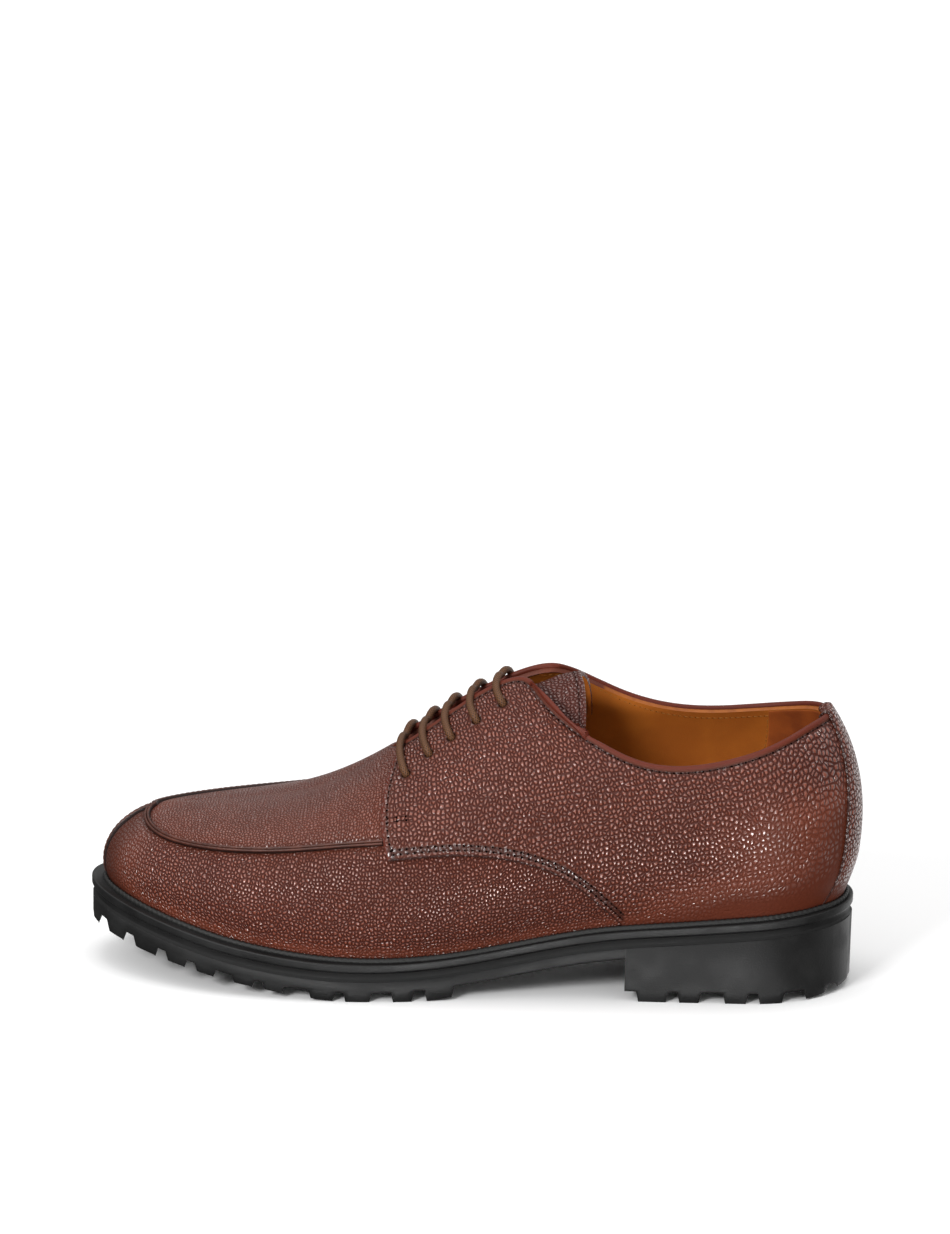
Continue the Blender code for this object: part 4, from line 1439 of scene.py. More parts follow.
@dataclass
class Upper:
    """The lasted wall: vamp and apron outside, lining inside. Its looks are sized in mm and turns."""

    finishes: Finishes
    wall: float = 2.0 * MM
    rim_out: float = 0.25 * MM
    rim_down: float = 0.5 * MM
    edge_columns: int = 120
    facing_column: int = 60
    toe_columns: int = 120
    low_rows: int = 46
    high_rows: int = 40
    row_power: float = 1.25
    below_bead: float = 0.6 * MM
    hole: float = 2.2 * MM
    vamp_turns: Span = (0.50, 0.57)
    foot_relief: float = 0.45
    relief_reach: Span = (1.0, 9.0)
    foot_edge: float = 0.5
    foot_half: float = 1.6
    foot_burnish_and_shade: float = 0.75
    apron_under: float = 0.08
    apron_grain: Span = (1.2, 1.5)
    apron_relief: float = 0.8
    apron_fade: float = 0.35
    apron_front: Span = (0.85, 1.0)
    seam_half: float = 2.2
    seam_flat: float = 0.6
    seam_shade: float = 0.55
    seam_groove: float = 0.45
    below_seam: Span = (2.6, -5.0)
    below_rise: float = 0.30
    above_seam: Span = (2.4, 4.5)
    above_rise: float = 0.25
    cap_turns: Span = (0.80, 0.95)
    cap_flat: float = 0.8
    cap_shade: float = 0.38
    split_turns: Span = (0.86, 0.93)
    split_half: float = 2.0
    split_flat: float = 0.7
    split_shade: float = 0.6
    split_groove: float = 0.55
    by_split: Span = (2.0, 4.0)
    split_rise: float = 0.25
    heel_lining: float = 0.196
    heel_lean: float = 0.11
    heel_sewing: Span = (0.006, 0.56)
    patch: float = 0.3 * MM
    patch_drop: float = 1.6 * MM
    patch_foot: float = 0.08
    patch_columns: int = 80
    patch_rows: int = 40
    patch_edge: int = 6
    heel_rise: Span = (0.2, 0.95)
    heel_points: int = 60
    collar_start: float = 0.6
    collar_points: int = 120
    lining_row: float = 3.6 * MM
    sewing: Sewing = Sewing(pitch=2.3 * MM, thread=0.45 * MM, hole=0.5 * MM)

    def places(self, side: Side) -> tuple[Array, Array]:
        """Turns and shares of one side's grid, with a row along the apron's seam.

        Args:
            side: The side.

        Returns:
            Turns and shares by column and row.
        """
        rows = np.linspace(0, EDGE_ROWS, self.edge_columns + 1)
        edge_turn = EDGE[side].at("turn", rows)
        edge_turn[0] = 0
        toe = np.linspace(THROAT, 1, self.toe_columns)
        foot = np.concatenate([np.linspace(0, edge_turn[-1], self.edge_columns + 1), toe])
        top = np.concatenate([edge_turn, toe])
        edge_share = EDGE[side].at("share", rows) - self.below_bead / LAST.girth(edge_turn, side)
        top_share = np.concatenate([edge_share, np.ones(self.toe_columns)])
        low = 1 - (1 - np.linspace(0, 1, self.low_rows + 1)) ** self.row_power
        high = np.linspace(0, 1, self.high_rows + 1)[1:] ** self.row_power
        seam = (apron_share(foot, side) / top_share)[:, None]
        rise = np.concatenate([seam * low, seam + (1 - seam) * high], 1)
        turn = foot[:, None] + (top - foot)[:, None] * rise**LEAN_POWER
        return turn, top_share[:, None] * rise

    def dress(self, turn: Array, share: Array, side: Side) -> tuple[Array, Array, Array]:
        """Grain, tone and relief of one side.

        Args:
            turn: Turns.
            share: Shares of the girth.
            side: The side.

        Returns:
            Grain in mm, tone, and height above the last.
        """
        points = LAST.point(turn, share, side)
        girth = LAST.girth(turn, side)
        up = share * girth / MM
        seam = (share - apron_share(turn, side)) * girth / MM
        split = toe_distance(points) / MM
        on_apron = (seam >= 0) & (turn > APRON.order[0] - self.apron_under)
        forward = smooth(*self.vamp_turns, turn)
        cap = smooth(*self.cap_turns, turn) * (1 - on_apron)
        at_split = smooth(*self.split_turns, turn) * (1 - on_apron)
        flat = points[..., :2] / MM * self.apron_grain
        around = np.stack([LAST.belt_place(turn, side) / MM, up], -1)
        grain = np.zeros(turn.shape + (3,))
        grain[..., :2] = np.where(on_apron[..., None], flat, around)
        by_seam = bell(seam, self.seam_half) * forward
        by_split = bell(split, self.split_half) * at_split
        relief = self.foot_relief + (1 - self.foot_relief) * smooth(*self.relief_reach, up)
        relief *= 1 - self.cap_flat * cap
        on_top = self.apron_relief - self.apron_fade * smooth(*self.apron_front, turn)
        relief = np.where(on_apron, on_top, relief)
        relief *= (1 - self.seam_flat * by_seam) * (1 - self.split_flat * by_split)
        # Burnish with painted shade in the welt's crease, painted shade in the grooves beside the apron's
        # seam and the toe's split, and painted shade on the toe cap
        burnish_and_shade = self.foot_burnish_and_shade * bell(np.maximum(up - self.foot_edge, 0), self.foot_half)
        burnish_and_shade += self.seam_shade * by_seam + self.split_shade * by_split + self.cap_shade * cap
        tone = np.stack([np.clip(burnish_and_shade, 0, MOST_BURNISH_AND_SHADE), relief, np.zeros_like(turn)], -1)
        swell = self.below_rise * bell(seam, *self.below_seam)
        swell += self.above_rise * bell(seam, *self.above_seam)
        lift = swell * forward + self.split_rise * bell(split, *self.by_split) * at_split
        lift -= self.seam_groove * by_seam + self.split_groove * by_split
        return grain, tone, lift * MM

    def build(self) -> None:
        """Makes the wall with its holes, the heel's lining and the lining's stitches."""
        sheets = {side: self.places(side) for side in Side}
        columns, rows = sheets[Side.LATERAL][0].shape
        near = np.arange(columns * rows).reshape(columns, rows)
        far = near + columns * rows
        far[0] = near[0]
        far[-1] = near[-1]
        far[self.edge_columns + 1 :, -1] = near[self.edge_columns + 1 :, -1]
        looks = zip(*(self.dress(*sheets[side], side) for side in Side))
        grain, tone, lift = (np.concatenate(parts).reshape(2 * columns * rows, -1) for parts in looks)
        base = np.concatenate([LAST.point(*sheets[side], side).reshape(-1, 3) for side in Side])
        quads = np.concatenate([grid_quads(near), grid_quads(far)[:, ::-1]])
        normals = quad_normals(base, quads)
        if ((base - base.mean(0)) * normals).sum() < 0:
            quads = quads[:, ::-1]
            normals = -normals
        points = base + lift * normals
        hide = Hide(points, grain, tone, self.wall, quads, rim_out=self.rim_out, rim_down=self.rim_down)
        # Painted shade: the wall's rim goes dark where it lies under the facings
        facing = np.zeros((columns, rows))
        facing[self.facing_column : self.edge_columns + 2, -1] = 1
        hide.tone[:, 0] = np.maximum(hide.tone[:, 0], np.tile(facing.ravel(), 2))
        for side in Side:
            for centre, axis in eyelets(side):
                hide.punch(centre, axis, self.hole)
        finish = self.finishes
        shell = hide.solid("upper_shell", [finish.vamp, finish.lining_edge, finish.lining])
        shell.build("vamp_leather", "upper")
        self.line_heel()
        self.sew_lining()

    def line_heel(self) -> None:
        """Makes the patch of rough leather that lines the heel."""
        side = Side.MEDIAL
        turn = np.linspace(-self.heel_lining, self.heel_lining, self.patch_columns + 1)[:, None]
        rise = np.linspace(self.patch_foot, 1, self.patch_rows + 1)[None, :]
        tops = []
        for either in Side:
            turns, shares = (EDGE[either].column[name][: self.patch_edge] for name in ("turn", "share"))
            tops.append(np.interp(np.abs(turn), turns, shares))
        top = np.where(turn < 0, *tops) - self.patch_drop / LAST.girth(turn, side)
        share = rise * top
        turn = turn * (1 + self.heel_lean / self.heel_lining * (1 - rise))
        points = LAST.skin(turn, share, side, np.full(share.shape, -self.wall - self.patch))
        hide = Hide(points, points / MM, np.zeros_like(points), self.patch)
        if (hide.normals * LAST.normal(turn, share, side).reshape(-1, 3)).sum() > 0:
            hide.turn_over()
        hide.solid("heel_lining", [self.finishes.suede] * 3).build("insole_leather")

    def sew_lining(self) -> None:
        """Sets the lining's stitches: along the collar, and where it overlaps the heel's lining."""
        rows = []
        overlap, top = self.heel_sewing
        for side in Side:
            rise = np.linspace(*self.heel_rise, self.heel_points)
            turn = self.heel_lining + overlap + self.heel_lean * (1 - rise)
            rows.append(self.inside(turn, top * rise, side))
            edge_rows = np.linspace(self.collar_start, FACING_ROW, self.collar_points)
            turn = EDGE[side].at("turn", edge_rows)
            share = EDGE[side].at("share", edge_rows) - self.lining_row / LAST.girth(turn, side)
            rows.append(self.inside(turn, share, side))
        finish = self.finishes
        self.sewing.sew("lining", rows, finish.pale_thread, finish.needle_hole_shade, "insole_leather")

    def inside(self, turn: Array, share: Array, side: Side) -> tuple[Array, Array]:
        """A line on the lining, with normals into the shoe."""
        return LAST.skin(turn, share, side, -self.wall), -LAST.normal(turn, share, side)


@dataclass(frozen=True)
class Margins:
    """Distances of a quarter's points from its edges in mm, and how far its foot is off the welt."""

    foot: Array
    top: Array
    front: Array
    off_welt: Array


@dataclass
class Quarter:
    """One quarter with its facing, collar bead, holes and stitching. Its looks are sized in mm and turns."""

    finishes: Finishes
    side: Side
    columns: int = 240
    rows: int = 112
    column_power: float = 1.15
    gap: float = 0.05 * MM
    face: float = 1.85 * MM
    skive: float = 0.3
    skive_reach: float = 3.2
    lasting: float = 14.0
    back_seam: float = 0.0015
    facing_bulge: float = 0.010
    facing_power: float = 6.0
    rim_out: float = 0.35 * MM
    rim_down: float = 0.45 * MM
    bead_out: float = 0.85 * MM
    bead_down: float = 1.1 * MM
    bead_fade: int = 4
    bead: float = 1.3
    bead_half: Span = (0.9, 0.6)
    bead_rise: float = 0.14
    bead_tint: float = 0.8
    facing_rows: Span = (8.0, 10.5)
    facing_tint: float = 0.1
    foot_tint: float = 0.15
    red: float = 0.9
    red_fade: float = 0.6
    red_front: Span = (0.5, 0.9)
    hole: float = 1.95 * MM
    welt_share: float = 0.03
    first_row: float = 2.1
    second_row: float = 3.9
    row_half: float = 1.1
    row_ends: int = 4
    front_half: float = 1.0
    row_groove: float = 0.22
    row_flat: float = 0.75
    row_shade: float = 0.62
    collar_row: float = 2.2
    collar_half: float = 0.7
    collar_groove: float = 0.35
    collar_shade: float = 0.8
    collar_fade: float = 2.0
    line_half: float = 0.5
    line_shadow: float = 0.8
    foot_edge: float = 0.6
    foot_half: float = 1.7
    foot_burnish_and_shade: float = 0.75
    foot_relief: float = 0.10
    heel_turns: Span = (0.26, 0.40)
    heel_reach: Span = (6.0, 28.0)
    side_reach: Span = (0.0, 9.0)
    drawn: float = 0.9
    drawn_turns: Span = (0.08, 0.24)
    drawn_reach: Span = (34.0, 58.0)
    rubbed: float = 0.62
    rubbed_turns: Span = (0.055, 0.215)
    rubbed_reach: Span = (15.0, 32.0)
    heel_grain: float = 0.78
    grain_turns: Span = (0.10, 0.34)
    tack_reach: float = 12.5
    tack_rows: Span = (15.4, 17.0)
    sewing: Sewing = Sewing(pitch=2.8 * MM, thread=0.42 * MM, hole=1.1 * MM)

    def places(self) -> tuple[Array, Array]:
        """Turns and shares of the quarter's grid.

        Returns:
            Turns and shares by column and row.
        """
        step = np.linspace(0, 1, self.columns + 1)
        column = EDGE_COLUMNS * (1 - (1 - step) ** self.column_power)
        rows = column * EDGE_ROWS / EDGE_COLUMNS
        top_turn = EDGE[self.side].at("turn", rows)
        top_share = EDGE[self.side].at("share", rows)
        leaving = EDGE_COLUMNS - QUARTER_FOOT_ROWS
        rising = np.clip(column - leaving, 0, None)
        along_welt = column / leaving * QUARTER_FOOT.column["turn"][0]
        foot_turn = np.where(column < leaving, along_welt, QUARTER_FOOT.at("turn", rising))
        foot_share = np.where(column < leaving, 0, QUARTER_FOOT.at("share", rising))
        foot_turn[0] = self.back_seam
        top_turn[0] = self.back_seam
        step = np.linspace(0, 1, self.rows + 1)
        rise = step - 0.5 * np.sin(2 * np.pi * step) / (2 * np.pi)
        front = (column / EDGE_COLUMNS)[:, None] ** self.facing_power
        turn = foot_turn[:, None] + (top_turn - foot_turn)[:, None] * rise**LEAN_POWER
        turn = turn + self.facing_bulge * front * 4 * rise * (1 - rise)
        share = foot_share[:, None] + (top_share - foot_share)[:, None] * rise
        return turn, share

    def fineness(self, turn: Array) -> Array:
        """How fine the grain is at a turn: coarse on the heel, where the leather is drawn tight."""
        return self.heel_grain + (1 - self.heel_grain) * smooth(*self.grain_turns, turn)

    def grain_along(self, turn: Array) -> Array:
        """Length along the quarter in mm, shortened where the grain is coarse.

        Args:
            turn: Turns.

        Returns:
            A length for each turn.
        """
        table = np.linspace(self.back_seam, turn.max(), self.columns)
        steps = np.abs(np.gradient(LAST.belt_place(table, self.side))) * self.fineness(table)
        return np.interp(turn, table, np.cumsum(steps) / MM)

    def stitched(self, margins: Margins) -> Array:
        """How near the rows of stitches are, from 0 to 1."""
        rows = sum(bell(margins.foot, self.row_half, row) for row in (self.first_row, self.second_row))
        return np.clip(rows * margins.off_welt + bell(margins.front, self.front_half, self.first_row), 0, 1)

    def lift(self, margins: Margins) -> Array:
        """Relief of the quarter's face.

        Args:
            margins: Distances from its edges.

        Returns:
            Heights in mm: skived at the cut edges, drawn in by the stitches, swollen along the collar.
        """
        far = 2 * self.skive_reach
        cut = np.minimum(np.where(margins.off_welt > 0.5, margins.foot, far), margins.front)
        lift = self.bead_rise * bell(margins.top, *self.bead_half)
        lift -= self.skive * (1 - smooth(0.0, self.skive_reach, cut))
        lift -= self.row_groove * self.stitched(margins)
        return lift - self.collar_groove * bell(margins.top, self.collar_half, self.collar_row)

    def tone(self, turn: Array, up: Array, margins: Margins) -> Array:
        """Burnish and painted shade, relief of the grain, and red of the cut edges.

        Args:
            turn: Turns.
            up: Heights over the welt in mm.
            margins: Distances from the edges.

        Returns:
            The three, from 0 to 1, at each point.
        """
        sewn = self.stitched(margins)
        heel = 1 - smooth(*self.heel_turns, turn)
        drawn = (1 - smooth(*self.drawn_turns, turn)) * (1 - smooth(*self.drawn_reach, up))
        low = smooth(*self.heel_reach, up) * heel + smooth(*self.side_reach, up) * (1 - heel)
        relief = np.clip(self.foot_relief + (1 - self.foot_relief) * low, 0, 1) * (1 - self.drawn * drawn)
        relief *= 1 - self.rubbed * bell(turn, *self.rubbed_turns) * bell(up, *self.rubbed_reach)
        relief *= smooth(self.bead, self.bead + self.collar_fade, margins.top) * (1 - self.row_flat * sewn)
        # Burnish with painted shade in the welt's crease, painted shade in the stitch grooves and the
        # collar's row, and a painted shadow line along the lower edge
        burnish_and_shade = self.foot_burnish_and_shade * bell(np.maximum(up - self.foot_edge, 0), self.foot_half)
        burnish_and_shade += self.row_shade * sewn
        burnish_and_shade += self.collar_shade * bell(margins.top, self.collar_half, self.collar_row)
        burnish_and_shade += self.line_shadow * bell(margins.foot, self.line_half) * margins.off_welt
        collar = 1 - smooth(self.bead - self.red_fade, self.bead, margins.top)
        red = self.red * np.maximum(collar, 1 - smooth(*self.red_front, margins.front))
        return np.stack([np.clip(burnish_and_shade, 0, MOST_BURNISH_AND_SHADE), relief, red], -1)

    def build(self) -> None:
        """Makes the quarter and sews it on."""
        side = self.side
        turn, share = self.places()
        up = share * LAST.girth(turn, side) / MM
        base = LAST.skin(turn, share, side, self.face * lasted(up, self.lasting))
        normal = LAST.normal(turn, share, side)
        from_edges = (edge_distance(base, line) / MM for line in (base[:, 0], base[:, -1], base[-1]))
        margins = Margins(*from_edges, smooth(0.0, self.welt_share, share[:, :1]))
        points = base + (self.lift(margins) * MM)[..., None] * normal
        grain = np.stack([self.grain_along(turn), up * self.fineness(turn), 0 * up], -1)
        rims = {"rim_out": self.rim_out, "rim_down": self.rim_down}
        hide = Hide(points, grain, self.tone(turn, up, margins), self.face - self.gap, **rims)
        if (hide.normals * normal.reshape(-1, 3)).sum() < 0:
            hide.turn_over()
        ids = grid_ids(points)
        top = ids[:, -1]
        step = np.arange(self.columns + 1)
        blend = np.clip((self.columns - step) / self.bead_fade, 0, 1)
        hide.out[top] += (self.bead_out - self.rim_out) * blend
        hide.down[top] += (self.bead_down - self.rim_down) * blend
        hide.sweep[top] *= 1 + blend
        on_facing = smooth(*self.facing_rows, step / self.columns * EDGE_ROWS)
        hide.rim_edge[top] = self.bead_tint + self.facing_tint * on_facing
        hide.rim_edge[ids[-1]] = self.bead_tint
        hide.rim_edge[ids[:, 0]] = self.foot_tint
        for centre, axis in eyelets(side):
            hide.punch(centre, axis, self.hole)
        name = "quarter_" + side.name.lower()
        hide.solid(name + "_leather", [self.finishes.quarter] * 3).build("quarter_leather", name)
        self.sew(name, points, normal, margins)

    def sew(self, name: str, points: Array, normal: Array, margins: Margins) -> None:
        """Sets the rows along the lower edge, the front, the collar and the corner's tack.

        Args:
            name: Start of the pieces' names.
            points: The quarter's face.
            normal: Its normals.
            margins: Distances from its edges.
        """
        foot, top, front = margins.foot, margins.top, margins.front
        rows = []
        first = int(np.flatnonzero(margins.off_welt[:, 0] > 0.5)[0])
        last = int((front[:, 0] > self.first_row).sum())
        for distance in (self.first_row, self.second_row):
            rows.append(line_at(points[first:last], normal[first:last], foot[first:last], distance))
        flip = slice(None, None, -1)
        upright = np.swapaxes(points[flip], 0, 1), np.swapaxes(normal[flip], 0, 1), front[flip].T
        start = int((foot[-1] < self.first_row).sum())
        rows.append(tuple(part[start : -self.row_ends] for part in line_at(*upright, self.first_row)))
        across = line_at(points[:, flip], normal[:, flip], top[:, flip], self.collar_row)
        rows.append(tuple(part[self.row_ends : last - 1] for part in across))
        tack = front[:, 0] < self.tack_reach
        for distance in self.tack_rows:
            line = line_at(points[tack], normal[tack], foot[tack], distance)
            rows.append(tuple(part[: last - len(points)] for part in line))
        self.sewing.sew(name, rows, self.finishes.thread, self.finishes.needle_hole_shade, "quarter_leather")


@dataclass
class BackStrip:
    """The strip over the back seam, folded over the collar."""

    finishes: Finishes
    face: float = 3.2 * MM
    thickness: float = 1.0 * MM
    skive: float = 0.6 * MM
    skive_from: float = 0.72
    lasting: float = 20.0
    columns: int = 64
    rows: int = 120
    fold_rows: int = 18
    tail_rows: int = 8
    fold_rise: float = 1.3 * MM
    inside: float = -2.35 * MM
    tail: float = 4.0 * MM
    probe: float = 0.01
    pucker: float = 0.12 * MM
    puckers: float = 9.0
    pucker_start: float = 1.0
    relief: Span = (0.15, 0.90)
    relief_reach: Span = (6.0, 30.0)
    foot_edge: float = 0.6
    foot_half: float = 1.8
    foot_burnish_and_shade: float = 0.7
    edge_half: float = 0.7
    edge_shade: float = 0.8
    most_burnish_and_shade: float = 0.9

    def build(self) -> None:
        """Makes the strip."""
        side = Side.MEDIAL
        top = float(EDGE[Side.LATERAL].at("share", 0))
        share = np.linspace(0, top, self.rows + 1)[None, :]
        across = np.linspace(-1, 1, self.columns + 1)[:, None]
        turn = across * BACK_STRIP.at("half", share)
        share = np.broadcast_to(share, turn.shape)
        up = share * LAST.girth(turn, side) / MM
        skive = self.skive * smooth(self.skive_from, 1.0, np.abs(across))
        lift = (self.face - skive) * lasted(up, self.lasting)
        outer = LAST.skin(turn, share, side, lift)
        edge = LAST.point(turn[:, -1], share[:, -1], side)
        normal = LAST.normal(turn[:, -1], share[:, -1], side)
        upward = unit(edge - LAST.point(turn[:, -1], share[:, -1] - self.probe, side))
        bend = np.linspace(0, math.pi, self.fold_rows + 1)[1:]
        middle = (lift[:, -1] + self.inside) / 2
        reach = (lift[:, -1] - self.inside) / 2
        fold = edge[:, None] + (middle[:, None] + reach[:, None] * np.cos(bend))[..., None] * normal[:, None]
        pucker = self.pucker * np.sin(self.puckers * across + self.pucker_start) * np.sin(bend)[None, :]
        fold = fold + (self.fold_rise * np.sin(bend) + pucker)[..., None] * upward[:, None]
        down = np.linspace(0, self.tail, self.tail_rows + 1)[1:]
        turned = np.broadcast_to(turn[:, -1:], (self.columns + 1, self.tail_rows))
        below = share[:, -1:] - down / LAST.girth(turn[:, -1:], side)
        tail = LAST.skin(turned, below, side, np.full(turned.shape, self.inside))
        points = np.concatenate([outer, fold, tail], 1)
        up = lengths(points, 1) / MM
        wide = lengths(points, 0) / MM
        grain = np.stack([wide - wide[-1:] / 2, up, 0 * up], -1)
        by_edge = np.minimum(wide, wide[-1:] - wide)
        relief = self.relief[0] + (self.relief[1] - self.relief[0]) * smooth(*self.relief_reach, up)
        # Burnish with painted shade in the welt's crease, and painted shade along the strip's edges
        burnish_and_shade = self.foot_burnish_and_shade * bell(np.maximum(up - self.foot_edge, 0), self.foot_half)
        burnish_and_shade += self.edge_shade * bell(by_edge, self.edge_half)
        tone = np.stack([np.clip(burnish_and_shade, 0, self.most_burnish_and_shade), relief, 0 * up], -1)
        hide = Hide(points, grain, tone, self.thickness, rim_tint=0.0)
        if (hide.normals[: self.rows] @ normal[0]).sum() < 0:
            hide.turn_over()
        leather = self.finishes.strip
        hide.solid("back_strip_leather", [leather] * 3).build("strip_leather", "back_strip")


@dataclass
class RaisedSeam:
    """The standing seams of the toe: around the apron, and down the split."""

    finishes: Finishes
    half: float = 1.15 * MM
    rise: float = 1.55 * MM
    base: float = -0.9 * MM
    apron_back: float = 0.568
    stations: int = 420
    toe_stations: int = 150
    stitch: float = 2.3 * MM
    half_across: tuple[float, ...] = (0.0, 0.08, 0.25, 0.55, 0.82, 0.97, 1.0, 1.0)
    half_crown: tuple[float, ...] = (0.72, 0.82, 0.96, 1.0, 0.93, 0.72, 0.30, 0.0)
    pull: float = 0.10
    pull_power: int = 6
    narrowing: float = 0.06
    valley_half: float = 0.16
    valley_shade: float = 0.5
    flank: float = 0.9
    flank_shadow: float = 1.2
    toe_foot: float = 0.004
    foot_height: float = 0.55
    foot_reach: float = 0.1

    def section(self) -> tuple[Array, Array]:
        """The seam's section: two leather edges standing side by side.

        Returns:
            Places across, as shares of the half width, and heights above the last.
        """
        across = np.array(self.half_across)
        crown = np.array(self.half_crown)
        across = np.concatenate([-across[:0:-1], across])
        crown = np.concatenate([crown[:0:-1], crown])
        return across, self.base + (self.rise - self.base) * crown

    def sweep(self, name: str, middle: Array, normal: Array, fade: Array, node: str) -> None:
        """Draws the section along a line.

        Args:
            name: Name of the piece.
            middle: Points of the line, on the last.
            normal: Outward courses there.
            fade: Share of the full height at each point.
            node: The solid that it stands for.
        """
        across, height = self.section()
        sideways = unit(np.cross(normal, np.gradient(middle, axis=0)))
        along = lengths(middle, 0)
        pull = 1 - self.pull * np.abs(np.sin(np.pi * along / self.stitch)) ** self.pull_power
        height = height[None, :] * np.where(height > 0, (pull * fade)[:, None], 1)
        width = self.half * (1 - self.narrowing * (1 - pull))[:, None] * across[None, :]
        rings = middle[:, None] + width[..., None] * sideways[:, None] + height[..., None] * normal[:, None]
        # Painted shade in the valley between the seam's two edges, and a painted shadow along its flanks
        burnish_and_shade = self.valley_shade * bell(across, self.valley_half)
        burnish_and_shade += self.flank_shadow * (np.abs(across) > self.flank)
        tone = np.zeros(rings.shape)
        tone[..., 0] = np.clip(burnish_and_shade, 0, 1)
        piece = Piece(name, rings, tube_faces(rings), [self.finishes.seam], grain=rings / MM, tone=tone)
        piece.build("seam_leather", node)

    def build(self) -> None:
        """Makes both seams."""
        turns = np.linspace(self.apron_back, 1, self.stations // 2)
        lines, normals = [], []
        for side, turn in ((Side.LATERAL, turns[:-1]), (Side.MEDIAL, turns[::-1])):
            lines.append(LAST.point(turn, apron_share(turn, side), side))
            normals.append(LAST.normal(turn, apron_share(turn, side), side))
        middle = np.concatenate(lines)
        normal = np.concatenate(normals)
        self.sweep("apron_seam_ridge", middle, normal, np.ones(len(middle)), "apron_seam")
        top = float(apron_share(1.0, Side.LATERAL)) - self.half / float(LAST.girth(1.0, Side.LATERAL))
        rise = np.linspace(self.toe_foot, top, self.toe_stations)
        middle = LAST.point(1.0, rise, Side.LATERAL)
        normal = LAST.normal(1.0, rise, Side.LATERAL)
        fade = self.foot_height + (1 - self.foot_height) * smooth(0.0, self.foot_reach, rise)
        self.sweep("toe_seam_ridge", middle, normal, fade, "toe_seam")


@dataclass
class Tongue:
    """The leaf under the facings, with a tan lining behind it."""

    finishes: Finishes
    wall: float = 2.0 * MM
    clear: float = 1.1 * MM
    thickness: float = 2.0 * MM
    top_lean: float = 0.046
    lean_power: float = 0.8
    top_rise: float = 1.6 * MM
    rise_reach: float = 0.6
    dip: float = 4.5 * MM
    dip_turn: float = 0.405
    dip_reach: float = 0.035
    crest_reach: float = 0.4
    sections: int = 130
    columns: int = 90
    lean_fade: int = 3
    rise_fade: int = 6
    crest_round: float = 0.03
    rim_out: float = 0.6 * MM
    rim_down: float = 0.8 * MM
    relief: float = 0.9
    row: float = 2.0
    row_half: float = 0.6
    row_shade: float = 0.5
    row_ends: int = 4
    side_row: tuple[int, int] = (5, 70)
    sewing: Sewing = Sewing(pitch=2.0 * MM, thread=0.45 * MM, hole=0.45 * MM)

    def build(self) -> None:
        """Makes the tongue and its stitches."""
        across = np.linspace(-1, 1, self.columns + 1)[None, :]
        turn = np.linspace(TONGUE_WIDTH.order[0], TONGUE_WIDTH.order[-1], self.sections + 1)[:, None]
        near_top = np.linspace(1, 0, self.sections + 1)[:, None]
        half = MM * TONGUE_WIDTH.at("half", turn)
        soft = np.sqrt(across**2 + self.crest_round**2) ** self.lean_power
        turn = turn + self.top_lean * near_top**self.lean_fade * soft
        crown = np.clip(1 - (across / self.rise_reach) ** 2, 0, None)
        rise = self.top_rise * near_top**self.rise_fade * crown
        lift = rise - self.dip * bell(turn, self.dip_reach, self.dip_turn)
        lateral = across[0] < 0
        points = np.empty(turn.shape + (3,))
        for side, pick in ((Side.LATERAL, lateral), (Side.MEDIAL, ~lateral)):
            share = 1 - np.abs(across[:, pick]) * half / LAST.girth(turn[:, pick], side)
            crest = np.ones(share.shape)
            ridge = sum(LAST.normal(turn[:, pick], crest, either) for either in Side)
            ridge = unit(ridge * (1, 0, 1))
            flank = smooth(0.0, self.crest_reach, np.abs(across[:, pick]))[..., None]
            course = unit(ridge * (1 - flank) + LAST.normal(turn[:, pick], share, side) * flank)
            points[:, pick] = LAST.point(turn[:, pick], share, side) - (self.wall + self.clear) * course
            points[:, pick] += lift[:, pick, None] * ridge
        down = lengths(points, 0) / MM
        wide = lengths(points, 1) / MM
        grain = np.stack([wide, down, 0 * down], -1)
        by_edge = np.minimum(np.minimum(wide, wide[:, -1:] - wide), down)
        # Painted shade along the stitch rows
        burnish_and_shade = self.row_shade * bell(by_edge, self.row_half, self.row)
        tone = np.stack([burnish_and_shade, self.relief + 0 * down, 0 * down], -1)
        rims = {"rim_out": self.rim_out, "rim_down": self.rim_down, "rim_tint": 0.0}
        hide = Hide(points, grain, tone, self.thickness, **rims)
        if hide.normals[:, 2].sum() < 0:
            hide.turn_over()
        finish = self.finishes
        leaf = hide.solid("tongue_leaf", [finish.tongue, finish.tongue, finish.lining])
        leaf.build("tongue_leather", "tongue")
        normals = hide.normals.reshape(points.shape)
        top = line_at(np.swapaxes(points, 0, 1), np.swapaxes(normals, 0, 1), down.T, self.row)
        rows = [tuple(part[self.row_ends : -self.row_ends] for part in top)]
        for picked in (slice(None), slice(None, None, -1)):
            measure = np.abs(wide[:, picked] - wide[:, picked][:, :1])
            line = line_at(points[:, picked], normals[:, picked], measure, self.row)
            rows.append(tuple(part[slice(*self.side_row)] for part in line))
        self.sewing.sew("tongue", rows, finish.thread, finish.needle_hole_shade, "tongue_leather")


